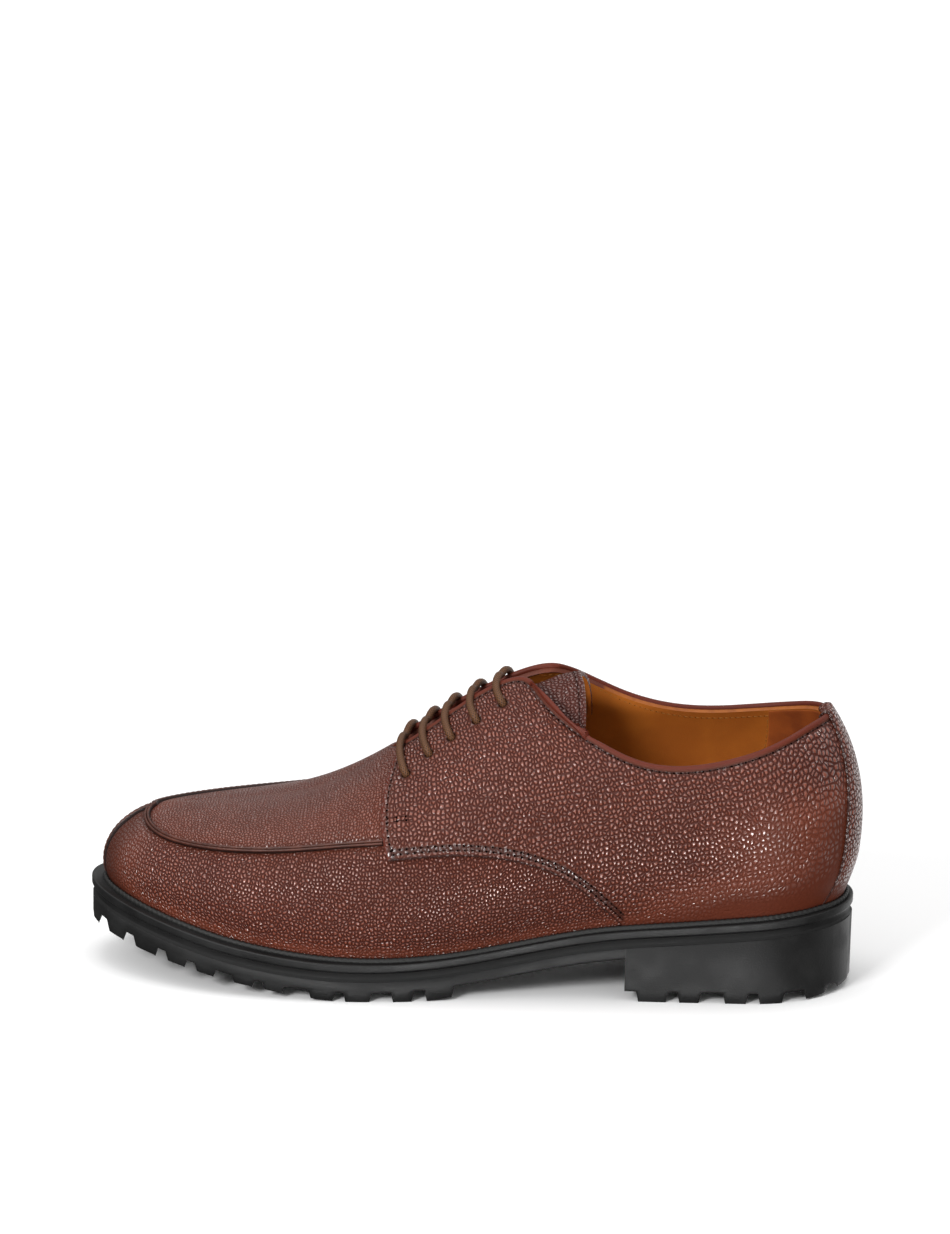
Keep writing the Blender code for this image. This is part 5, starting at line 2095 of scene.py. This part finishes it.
@dataclass
class Lace:
    """One round lace: bars over the tongue, hidden runs under the facings, both ends below the top holes."""

    finishes: Finishes
    radius: float = 1.5 * MM
    sag: float = 2.9 * MM
    sag_power: float = 5.0
    bow_lateral: float = -2.0 * MM
    bow_medial: float = 2.0 * MM
    bow_middle: float = -3.0 * MM
    slant: float = 0.06
    halvings: int = 16
    face: float = 1.85 * MM
    under: float = -2.55 * MM
    flat: float = 0.48 * MM
    wide: float = 2.0 * MM
    sides: int = 14
    step: float = 0.5 * MM
    least_step: float = 1e-6
    bar_points: int = 7
    aside: float = 5 * MM
    end_points: int = 4
    plait: float = 4.4
    start: tuple[float, float, float] = (0.3, 0.2, 1.0)

    def place(self, turn: float, side: Side, distance: float, height: float) -> Array:
        """A point at a distance from the ridge and a height over the last."""
        return LAST.skin(turn, LAST.below_ridge(turn, side, distance), side, height)

    def over(self, x: float, turn: float, side: Side, distance: float, height: float) -> Array:
        """A point at a place along the shoe, found by halving the turn.

        Args:
            x: The place along the shoe.
            turn: A turn near it.
            side: The side.
            distance: Distance from the ridge.
            height: Height over the last.

        Returns:
            The point.
        """
        low = turn - self.slant
        high = turn + self.slant
        for _ in range(self.halvings):
            middle = (low + high) / 2
            if self.place(middle, side, distance, height)[0] > x:
                low = middle
            else:
                high = middle
        return self.place(middle, side, distance, height)

    def bar(self, row: int, start: Side) -> list[Array]:
        """One bar, out of a hole, over both facings and into the hole across.

        Args:
            row: Number of the holes, from the top.
            start: The side that it comes out of.

        Returns:
            Points of its line.
        """
        turn = float(HOLES.order[row])
        ends = LACE_END.column
        reaches = {side: MM * HOLES.column[side.name.lower()][row] for side in Side}
        middle = sum(self.place(turn, side, reaches[side], 0.0)[0] for side in Side) / len(Side)
        route = []
        for side in (start, Side(-start.value)):
            reach = reaches[side]
            half = [(reach - MM * i, MM * h) for i, h in zip(ends["inside"], ends["height"])]
            inner = np.linspace(half[-1][0], 0, self.bar_points)[1:]
            half += [(out, half[-1][1] - self.sag * (1 - out / reach) ** self.sag_power) for out in inner]
            line = []
            for out, high in half:
                hole = self.place(turn, side, reach, self.face + high)[0]
                bow = self.bow_lateral if side is Side.LATERAL else self.bow_medial
                bow = bow * math.sin(math.pi * out / reach) + self.bow_middle * (1 - out / reach)
                along = middle + (hole - middle) * out / reach + bow
                line.append(self.over(along, turn, side, out, self.face + high))
            route += line if side is start else line[-2::-1]
        return route

    def run(self, side: Side, start: int, end: int, shift: float) -> list[Array]:
        """A hidden run under a facing, from below one hole to below another.

        Args:
            side: The side.
            start: Number of the hole that it leaves.
            end: Number of the hole that it goes to.
            shift: How far it keeps off the holes' line, away from the ridge.

        Returns:
            Points of its line.
        """
        distances = HOLES.column[side.name.lower()]
        rows = np.linspace(start, end, 2 + 3 * abs(end - start))
        route = []
        for row in rows:
            turn = float(np.interp(row, range(len(distances)), HOLES.order))
            away = float(np.interp(row, range(len(distances)), distances)) * MM
            aside = shift * math.sin(math.pi * (row - start) / (end - start))
            route.append(self.place(turn, side, away + aside, self.under))
        return route

    def strands(self) -> list[tuple[Array, Array]]:
        """The lace's two halves from the lowest bar up, with a flag along each that is 1 under the facings.

        Returns:
            Points and flags.
        """
        lateral, medial = Side.LATERAL, Side.MEDIAL
        first = [
            (self.bar(4, medial), 0),
            (self.run(lateral, 4, 3, 0.0), 1),
            (self.bar(3, lateral), 0),
            (self.run(medial, 3, 1, self.aside), 1),
            (self.bar(1, medial), 0),
            (self.run(lateral, 1, 0, self.aside)[: self.end_points], 1),
        ]
        second = [
            (self.run(medial, 4, 2, -self.aside), 1),
            (self.bar(2, medial), 0),
            (self.run(lateral, 2, 0, -self.aside), 1),
            (self.bar(0, lateral), 0),
        ]
        made = []
        for parts in (first, second):
            points = np.array([p for part, _ in parts for p in part])
            flags = np.array([flag for part, flag in parts for _ in part], float)
            made.append((points, flags))
        return made

    def tube(self, points: Array, flags: Array) -> tuple[Array, Array]:
        """Sweeps the lace's section along a line, flat where it is squeezed under a facing.

        Args:
            points: The line.
            flags: 1 where the lace is under a facing.

        Returns:
            Vertices by ring, and their grain.
        """
        along = lengths(points, 0)
        keep = np.concatenate([[True], np.diff(along) > self.least_step])
        along, points, flags = along[keep], points[keep], flags[keep]
        count = int(along[-1] / self.step)
        where = np.linspace(0, along[-1], count)
        knot = np.searchsorted(along, where, "right").clip(1, len(along) - 1) - 1
        part = (where - along[knot]) / (along[knot + 1] - along[knot])
        line = np.zeros((count, 3))
        for a, share in enumerate(weights(part)):
            line += share[:, None] * points[np.clip(knot + a - 1, 0, len(points) - 1)]
        flag = np.interp(where, along, flags)
        course = unit(np.gradient(line, axis=0))
        frame = np.zeros_like(line)
        frame[0] = unit(np.cross(course[0], self.start))
        for k in range(1, count):
            frame[k] = unit(frame[k - 1] - (frame[k - 1] @ course[k]) * course[k])
        other = np.cross(course, frame)
        bend = np.linspace(0, 2 * np.pi, self.sides, endpoint=False)
        squeeze = smooth(0.0, 1.0, flag)[:, None]
        a = self.radius + (self.wide - self.radius) * squeeze
        b = self.radius + (self.flat - self.radius) * squeeze
        rings = line[:, None] + (a * np.cos(bend))[..., None] * frame[:, None]
        rings = rings + (b * np.sin(bend))[..., None] * other[:, None]
        grain = np.zeros(rings.shape)
        grain[..., 0] = bend / np.pi * self.plait
        grain[..., 1] = where[:, None] / MM
        return rings, grain

    def build(self) -> None:
        """Makes the lace."""
        points, grain, faces = [], [], []
        first = 0
        for line, flags in self.strands():
            rings, coat = self.tube(line, flags)
            faces += [[first + number for number in face] for face in tube_faces(rings)]
            points.append(rings.reshape(-1, 3))
            grain.append(coat.reshape(-1, 3))
            first += len(points[-1])
        bars = [f"lace_bar_{k}" for k in range(1, len(HOLES.order) + 1)]
        cord = [self.finishes.lace]
        piece = Piece("lace", np.concatenate(points), faces, cord, grain=np.concatenate(grain))
        piece.build("waxed_cord", *bars)


@dataclass
class Sole:
    """Welt, midsole, outsole and heel, all from the welt's outline. Faces, rounds and insets are in mm."""

    finishes: Finishes
    gap: float = 0.35 * MM
    welt: float = 3.5 * MM
    welt_reach: float = 13 * MM
    midsole: float = 3.1 * MM
    outsole: float = 4.4 * MM
    outsole_setback: float = 0.3 * MM
    heel_setback: float = 0.22 * MM
    heel_lug: float = 4.2 * MM
    lug_taper: float = 1.0 * MM
    toe_spring: float = 17.6 * MM
    flat_to: float = 0.65
    spring_power: float = 1.35
    heel_roll: float = 3.2 * MM
    roll_from: float = 0.09
    roll_power: float = 1.5
    shank_rise: float = 1.6 * MM
    shank_from: float = 0.555
    breast: float = 0.293
    heel_step: float = 0.278
    tread_back: float = 0.511
    stations: int = 230
    bands: tuple[float, ...] = (0.0, 0.17, 0.27, 0.5, 0.73, 0.83, 1.0)
    lug_bands: tuple[int, ...] = (0, 2, 3, 5)
    bevel: float = 0.32 * MM
    row: float = 1.0 * MM
    bead_half: float = 0.9 * MM
    bead_rise: float = 0.55 * MM
    bead_pitch: float = 2.4 * MM
    bead_sides: int = 14
    bead_stations: int = 640
    bead_twist: float = 0.10
    bead_tall: float = 1.4
    vamp_face: float = 0.25
    quarter_face: float = 0.85
    quarter_front: Span = (0.34, 0.40)
    strip_face: float = 0.6
    strip_front: Span = (0.09, 0.13)
    welt_top: tuple[Span, ...] = ((7.0, 0.0), (3.0, 0.0), (2.2, 0.10), (1.8, 0.10), (1.3, 0.0))
    welt_rounds: Span = (0.55, 0.9)
    round_points: int = 6
    welt_sharp: float = 50.0
    midsole_insets: tuple[float, ...] = (0.9, 1.35, 1.35, 0.6)
    midsole_edge: float = 0.9 * MM
    midsole_turns: Span = (0.004, 0.996)
    bevel_segments: int = 2
    bevel_angle: float = 38.0
    sharp_angle: float = 40.0
    station_gap: float = 1.3 * MM
    end_gap: float = 4e-5

    def tread_height(self, x: Array) -> Array:
        """Height of the lugs' ends: flat under ball and heel, rising to the toe and the heel's back.

        Args:
            x: Places along the shoe.

        Returns:
            A height for each place.
        """
        along = 0.5 - x / LAST.length
        toe = np.clip((along - self.flat_to) / (1 - self.flat_to), 0, None) ** self.spring_power
        back = np.clip((self.roll_from - along) / self.roll_from, 0, None) ** self.roll_power
        shank = np.clip((self.shank_from - along) / (self.shank_from - self.tread_back), 0, 1)
        return self.toe_spring * toe + self.heel_roll * back + self.shank_rise * shank * (along > self.breast)

    @staticmethod
    def around(stations: int) -> tuple[tuple[Array, Side], ...]:
        """Turns once around the welt, side by side."""
        turns = np.linspace(0, 1, stations + 1)
        return (turns[:-1], Side.LATERAL), (turns[:0:-1], Side.MEDIAL)

    def make_welt(self) -> None:
        """Makes the welt with its rounded edge and the shallow groove in its upper face."""
        reach, thick = self.welt_reach / MM, self.welt / MM
        above, under = self.welt_rounds
        bend = np.linspace(0, math.pi / 2, self.round_points)
        section = [(reach, 0.0), *self.welt_top]
        section += [(above * (1 - math.sin(b)), above * (1 - math.cos(b))) for b in bend]
        section += [(under * (1 - math.cos(b)), thick - under + under * math.sin(b)) for b in bend]
        section += [(reach, thick)]
        loop = self.around(self.stations)
        rings = []
        for inset, drop in section:
            plan = np.concatenate([LAST.inset_rim(turn, side, inset * MM) for turn, side in loop])
            rings.append(np.column_stack([plan, LAST.seat_height(plan[:, 0]) - drop * MM]))
        points = np.stack(rings, 1)
        leather = [self.finishes.welt]
        rand = Piece("welt_rand", points, loop_faces(points), leather, sharp_deg=self.welt_sharp)
        rand.build("welt_leather", "welt")

    def make_bead(self) -> None:
        """Makes the corded rand in the corner between welt and upper, its turns slanting like stitches."""
        plans = []
        for turn, side in self.around(self.bead_stations):
            leather = self.vamp_face + self.quarter_face * (1 - smooth(*self.quarter_front, turn))
            leather += self.strip_face * (1 - smooth(*self.strip_front, turn))
            inset = MM * (SEAT.at("inset", LAST.along_of(turn)) - leather) - self.bead_half
            plans.append(LAST.inset_rim(turn, side, inset))
        plan = np.concatenate(plans)
        line = np.column_stack([plan, LAST.seat_height(plan[:, 0]) + self.bead_rise])
        course = unit(np.roll(line, -1, 0) - np.roll(line, 1, 0))
        upward = np.array([0.0, 0.0, 1.0])
        outward = unit(np.cross(course, upward))
        steps = np.linalg.norm(line - np.roll(line, 1, 0), axis=1)
        laps = round(float(steps.sum()) / self.bead_pitch)
        along = np.cumsum(steps) / steps.sum() * laps
        bend = np.linspace(0, 2 * math.pi, self.bead_sides, endpoint=False)
        twist = np.sin(bend[None, :] + 2 * math.pi * along[:, None])
        size = self.bead_half * (1 + self.bead_twist * twist)
        rings = line[:, None] + (size * np.cos(bend))[..., None] * outward[:, None]
        rings = rings + (self.bead_tall * size * np.sin(bend))[..., None] * upward
        Piece("welt_bead", rings, loop_faces(rings), [self.finishes.black_thread]).build("welt_leather")

    def plate(self, turns: Array, chain: Chain, bands: tuple[float, ...]) -> tuple[Solid, list]:
        """A plate lofted from heel to toe, as an editable solid.

        Args:
            turns: Turns of its sections.
            chain: Inset and height function of each corner of its side, from top to bottom.
            bands: Places of the lines across its underside.

        Returns:
            The solid, and the faces of its underside by station and band.
        """
        sides = {}
        for side in Side:
            rows = []
            for inset, height in chain:
                plan = LAST.inset_rim(turns, side, inset)
                rows.append(np.column_stack([plan, height(plan[:, 0])]))
            sides[side] = np.stack(rows, 1)
        near = sides[Side.LATERAL]
        far = sides[Side.MEDIAL]
        share = np.array(bands[1:-1])[None, :, None]
        under = near[:, -1:] + (far[:, -1:] - near[:, -1:]) * share
        ring = np.concatenate([near, under, far[:, ::-1]], 1)
        solid = bmesh.new()
        verts = [solid.verts.new(place) for place in ring.reshape(-1, 3)]
        faces = [solid.faces.new([verts[k] for k in face]) for face in tube_faces(ring)]
        first = len(chain) - 1
        numbers = np.arange(len(faces) - 2).reshape(len(turns) - 1, -1)[:, first : first + len(bands) - 1]
        return solid, [[faces[k] for k in row] for row in numbers]

    def finish(self, solid: Solid, name: str, material: Material, slot: str, node: str) -> None:
        """Bevels a solid's hard edges and hands it over.

        Args:
            solid: The solid.
            name: Name of the piece.
            material: Its material.
            slot: The record's material slot.
            node: The solid that it stands for.
        """
        bmesh.ops.recalc_face_normals(solid, faces=solid.faces)
        bmesh.ops.translate(solid, verts=solid.verts, vec=LAST.place)
        mesh = bpy.data.meshes.new(name + "_plain")
        solid.to_mesh(mesh)
        solid.free()
        holder = bpy.data.objects.new(name + "_plain", mesh)
        bpy.context.scene.collection.objects.link(holder)
        rounding = holder.modifiers.new("edges", "BEVEL")
        rounding.width = self.bevel
        rounding.segments = self.bevel_segments
        rounding.harden_normals = True
        rounding.limit_method = "ANGLE"
        rounding.angle_limit = math.radians(self.bevel_angle)
        graph = bpy.context.evaluated_depsgraph_get()
        made = bpy.data.meshes.new_from_object(holder.evaluated_get(graph))
        made.name = name
        bpy.data.objects.remove(holder)
        made.materials.append(material)
        made.shade_smooth()
        made.set_sharp_from_angle(angle=math.radians(self.sharp_angle))
        adopt(made, slot, node)

    def draw_lugs(self, solid: Solid, lugs: list, ways: dict[tuple, int]) -> None:
        """Draws lugs out of a plate's underside, narrower at their ends.

        Args:
            solid: The plate.
            lugs: The faces that become lugs.
            ways: The way in which each corner beside a notch draws in, by its place.
        """
        drawn = bmesh.ops.extrude_face_region(solid, geom=lugs)["geom"]
        ends = {v for f in drawn if isinstance(f, bmesh.types.BMFace) for v in f.verts}
        for vert in ends:
            vert.co.x += self.lug_taper * ways.get(self.place_of(vert), 0)
            vert.co.z = float(self.tread_height(vert.co.x))
        bmesh.ops.delete(solid, geom=[f for f in lugs if f.is_valid], context="FACES_ONLY")

    @staticmethod
    def place_of(vert: bmesh.types.BMVert) -> tuple[float, ...]:
        """A corner's place, to the nearest hundredth of a millimetre."""
        return tuple(round(v, 5) for v in vert.co)

    def tread(self, part: str, chain: Chain, span: Span, notches: Table, lug: Span, whole: float) -> None:
        """A lugged plate.

        Args:
            part: The solid that it stands for.
            chain: Corners of its side.
            span: Where it starts and ends, as shares of the length.
            notches: Its notches.
            lug: Where its lugs start and end.
            whole: The place past which its lugs run right across, on the side of the nearer end.
        """
        ends = self.notch_ends(notches, lug)
        keep = np.array(sorted({*ends, *span}))
        fill = LAST.along_of(np.linspace(*LAST.turn_of(np.array(span)), self.stations))
        clear = np.abs(fill[:, None] - keep[None, :]).min(1) * LAST.length > self.station_gap
        along = np.sort(np.concatenate([keep, fill[clear]]))
        turns = LAST.turn_of(np.clip(along, self.end_gap, 1 - self.end_gap))
        solid, under = self.plate(turns, chain, self.bands)
        solid.verts.index_update()
        count = len(solid.verts) // len(along)
        ways = {}
        for vert in solid.verts:
            at = along[vert.index // count]
            if at in ends:
                ways[self.place_of(vert)] = ends[at]
        lugs = []
        for k, row in enumerate(under):
            middle = (along[k] + along[k + 1]) / 2
            if not lug[0] < middle < lug[1] or self.in_notch(middle, notches):
                continue
            full = middle > whole if whole > 0.5 else middle < whole
            lugs += [face for b, face in enumerate(row) if full or b in self.lug_bands]
        self.draw_lugs(solid, lugs, ways)
        slot = {"outsole": "sole_rubber", "heel": "heel_rubber"}[part]
        self.finish(solid, part + "_tread", self.finishes.rubber, slot, part)

    @staticmethod
    def notch_ends(notches: Table, lug: Span) -> dict[float, int]:
        """Places where lugs start and end.

        Args:
            notches: The notches between them.
            lug: Where the first lug starts and the last one ends.

        Returns:
            The way along X that the lug draws in, by place.
        """
        found = {lug[0]: -1 if lug[0] else 0, lug[1]: 1 if lug[1] < 1 else 0}
        for start, end in zip(notches.column["start"], notches.column["end"]):
            found[float(start)] = 1
            found[float(end)] = -1
        return found

    @staticmethod
    def in_notch(along: float, notches: Table) -> bool:
        """Whether a place along the sole lies in a notch."""
        return any(s < along < e for s, e in zip(notches.column["start"], notches.column["end"]))

    def build(self) -> None:
        """Makes every layer."""
        self.make_welt()
        self.make_bead()

        def below(drop: float) -> Callable[[Array], Array]:
            """Height of a surface under the welt's upper face."""
            return lambda x: LAST.seat_height(x) - drop

        top = self.welt + self.gap / 2
        low = top + self.midsole + self.gap
        drops = (top, top + self.midsole_edge, low - self.midsole_edge, low)
        chain = [(MM * inset, below(drop)) for inset, drop in zip(self.midsole_insets, drops)]
        solid, _ = self.plate(np.linspace(*self.midsole_turns, self.stations), chain, (0.0, 1.0))
        self.finish(solid, "midsole_layer", self.finishes.midsole, "midsole_leather", "midsole")
        plan = self.outsole_setback
        chain = [(plan, below(low + drop)) for drop in (0.0, self.outsole - self.row, self.outsole)]
        whole = FOREFOOT_NOTCHES.column["end"][-2]
        self.tread("outsole", chain, (0.0, 1.0), FOREFOOT_NOTCHES, (self.tread_back, 1.0), whole)
        plan = self.heel_setback
        chain = [(plan, below(low))]
        for rise in (self.heel_lug + self.row, self.heel_lug):
            chain.append((plan, lambda x, rise=rise: np.full_like(x, rise)))
        whole = HEEL_NOTCHES.column["start"][0]
        self.tread("heel", chain, (0.0, self.breast), HEEL_NOTCHES, (0.0, self.heel_step), whole)


@dataclass
class Footbed:
    """The tan insole, dished under the foot."""

    finishes: Finishes
    margin: float = 2.2 * MM
    thickness: float = 2.8 * MM
    gap: float = 0.35 * MM
    dish: float = 1.6 * MM
    dish_power: int = 3
    dish_reach: float = 0.12
    turns: Span = (0.012, 0.988)
    stations: int = 150
    columns: int = 24

    def build(self) -> None:
        """Makes the insole."""
        turns = np.linspace(*self.turns, self.stations)
        inset = MM * SEAT.at("inset", LAST.along_of(turns)) + self.margin
        near = LAST.inset_rim(turns, Side.LATERAL, inset)
        far = LAST.inset_rim(turns, Side.MEDIAL, inset)
        across = np.linspace(0, 1, self.columns + 1)
        plan = near[:, None] + (far - near)[:, None] * across[None, :, None]
        cup = self.dish * np.abs(2 * across - 1) ** self.dish_power
        cup = cup * smooth(0.0, self.dish_reach, np.sin(np.pi * turns))[:, None]
        height = LAST.seat_height(plan[..., 0]) + self.gap + self.thickness + cup
        points = np.concatenate([plan, height[..., None]], -1)
        hide = Hide(points, points / MM, np.zeros_like(points), self.thickness)
        if hide.normals[:, 2].sum() < 0:
            hide.turn_over()
        hide.solid("insole_board", [self.finishes.insole] * 3).build("insole_leather", "insole")


def direction(azimuth: float, elevation: float) -> Vector:
    """The way to a place round the shoe.

    Args:
        azimuth: Degrees round it, from the photo's side.
        elevation: Degrees over the floor.

    Returns:
        A vector of length 1.
    """
    turn = math.radians(azimuth)
    rise = math.radians(elevation)
    return Vector((math.sin(turn) * math.cos(rise), -math.cos(turn) * math.cos(rise), math.sin(rise)))


@dataclass(frozen=True)
class Card:
    """A white card far away, soft at its rim."""

    azimuth: float
    elevation: float
    inner: float
    outer: float
    strength: float

    def light(self, w: Wiring, course: Socket) -> Socket:
        """The card's light.

        Args:
            w: The sky's nodes.
            course: The direction that is looked in.

        Returns:
            Its strength in that direction.
        """
        centre = tuple(direction(self.azimuth, self.elevation))
        facing = w.node("VectorMath", "Value", {"operation": "DOT_PRODUCT"}, i0=course, i1=centre)
        edges = (math.cos(math.radians(angle)) for angle in (self.outer, self.inner))
        return w.ramp(facing, *edges, 0.0, self.strength)


@dataclass
class Studio:
    """A pale floor, soft lights and the camera."""

    elevation: float = 17.5
    azimuth: float = 3.0
    roll: float = -1.2
    distance: float = 1.8
    focal: float = 4500.0
    frame: tuple[int, int] = (950, 1234)
    seen_at: tuple[float, float] = (472, 845)
    centre: tuple[float, float, float] = (0.0, 0.0, 50 * MM)
    sensor: float = 36.0
    floor: float = 8.0
    dim: float = 0.12
    bright: float = 0.95
    dim_below: float = 0.0
    bright_above: float = 0.8
    far: float = 50.0
    boxes: tuple[tuple, ...] = (
        ("key", (-0.75, -1.35, 0.85), (0.55, 0.42), 22.0),
        ("top", (0.0, 0.1, 1.7), (1.4, 0.6), 8.0),
    )
    cards: tuple[Card, ...] = (Card(150.0, -14.0, 20.0, 48.0, 1.3), Card(12.0, -10.0, 3.0, 7.5, 65.0))

    def camera(self) -> None:
        """Sets the camera so that the shoe's middle falls on its pixel."""
        back = direction(self.azimuth, self.elevation)
        right = Vector((0, 0, 1)).cross(back).normalized()
        looking = Matrix((right, back.cross(right), back)).transposed()
        across = self.seen_at[0] - self.frame[0] / 2
        down = self.seen_at[1] - self.frame[1] / 2
        aside = Vector((0, 0, -1)).rotation_difference(Vector((across, -down, -self.focal)))
        rolled = Matrix.Rotation(math.radians(self.roll), 3, -back)
        turned = rolled @ looking @ aside.to_matrix().transposed()
        data = bpy.data.cameras.new("camera")
        data.sensor_width = self.sensor
        data.lens = self.focal * self.sensor / max(self.frame)
        data.clip_end = self.far
        made = bpy.data.objects.new("camera", data)
        made.matrix_world = turned.to_4x4()
        made.location = Vector(self.centre) + Vector(LAST.place) + back * self.distance
        bpy.context.scene.collection.objects.link(made)
        bpy.context.scene.camera = made

    def sky(self) -> None:
        """A white room that is dim at the sides and bright overhead, with white cards."""
        world = bpy.data.worlds.new("studio")
        world.use_nodes = True
        w = Wiring(world.node_tree)
        course = w.node("TexCoord", "Generated")
        light = w.ramp(w.parts(course)[2], self.dim_below, self.bright_above, self.dim, self.bright)
        for card in self.cards:
            light = w.math("ADD", light, card.light(w, course))
        shader = world.node_tree.nodes["Background"]
        w.put(shader.inputs["Strength"], light)
        w.put(shader.inputs["Color"], WHITE)
        bpy.context.scene.world = world

    def light(self, name: str, place: tuple, size: tuple[float, float], watts: float) -> None:
        """A soft box that looks at the shoe.

        Args:
            name: Its name.
            place: Where it stands.
            size: Its width and height.
            watts: Its power.
        """
        data = bpy.data.lights.new(name, "AREA")
        data.shape = "RECTANGLE"
        data.size, data.size_y = size
        data.energy = watts
        made = bpy.data.objects.new(name, data)
        made.location = place
        made.rotation_mode = "QUATERNION"
        made.rotation_quaternion = (Vector(self.centre) - Vector(place)).to_track_quat("-Z", "Y")
        bpy.context.scene.collection.objects.link(made)

    def build(self) -> None:
        """Makes floor, lights and camera."""
        mesh = bpy.data.meshes.new("floor")
        reach = self.floor
        corners = [(-reach, -reach, 0), (reach, -reach, 0), (reach, reach, 0), (-reach, reach, 0)]
        mesh.from_pydata(corners, [], [range(len(corners))])
        mesh.materials.append(PaleFloor().make())
        ground = bpy.data.objects.new("floor", mesh)
        bpy.context.scene.collection.objects.link(ground)
        ground.visible_diffuse = False
        ground.visible_glossy = False
        ground.visible_shadow = False
        self.sky()
        for name, place, size, watts in self.boxes:
            self.light(name, place, size, watts)
        bpy.context.scene.view_settings.view_transform = "Standard"
        self.camera()


def main() -> None:
    """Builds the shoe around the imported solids."""
    logging.basicConfig(level=logging.INFO, format="%(name)s: %(message)s")
    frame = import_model()
    finishes = Finishes()
    Studio().build()
    Upper(finishes).build()
    for side in Side:
        Quarter(finishes, side).build()
    BackStrip(finishes).build()
    RaisedSeam(finishes).build()
    Tongue(finishes).build()
    Lace(finishes).build()
    Footbed(finishes).build()
    Sole(finishes).build()
    for place in frame["nodes"]["filler"].material_slots:
        place.material = finishes.cork


if __name__ == "__main__":
    main()
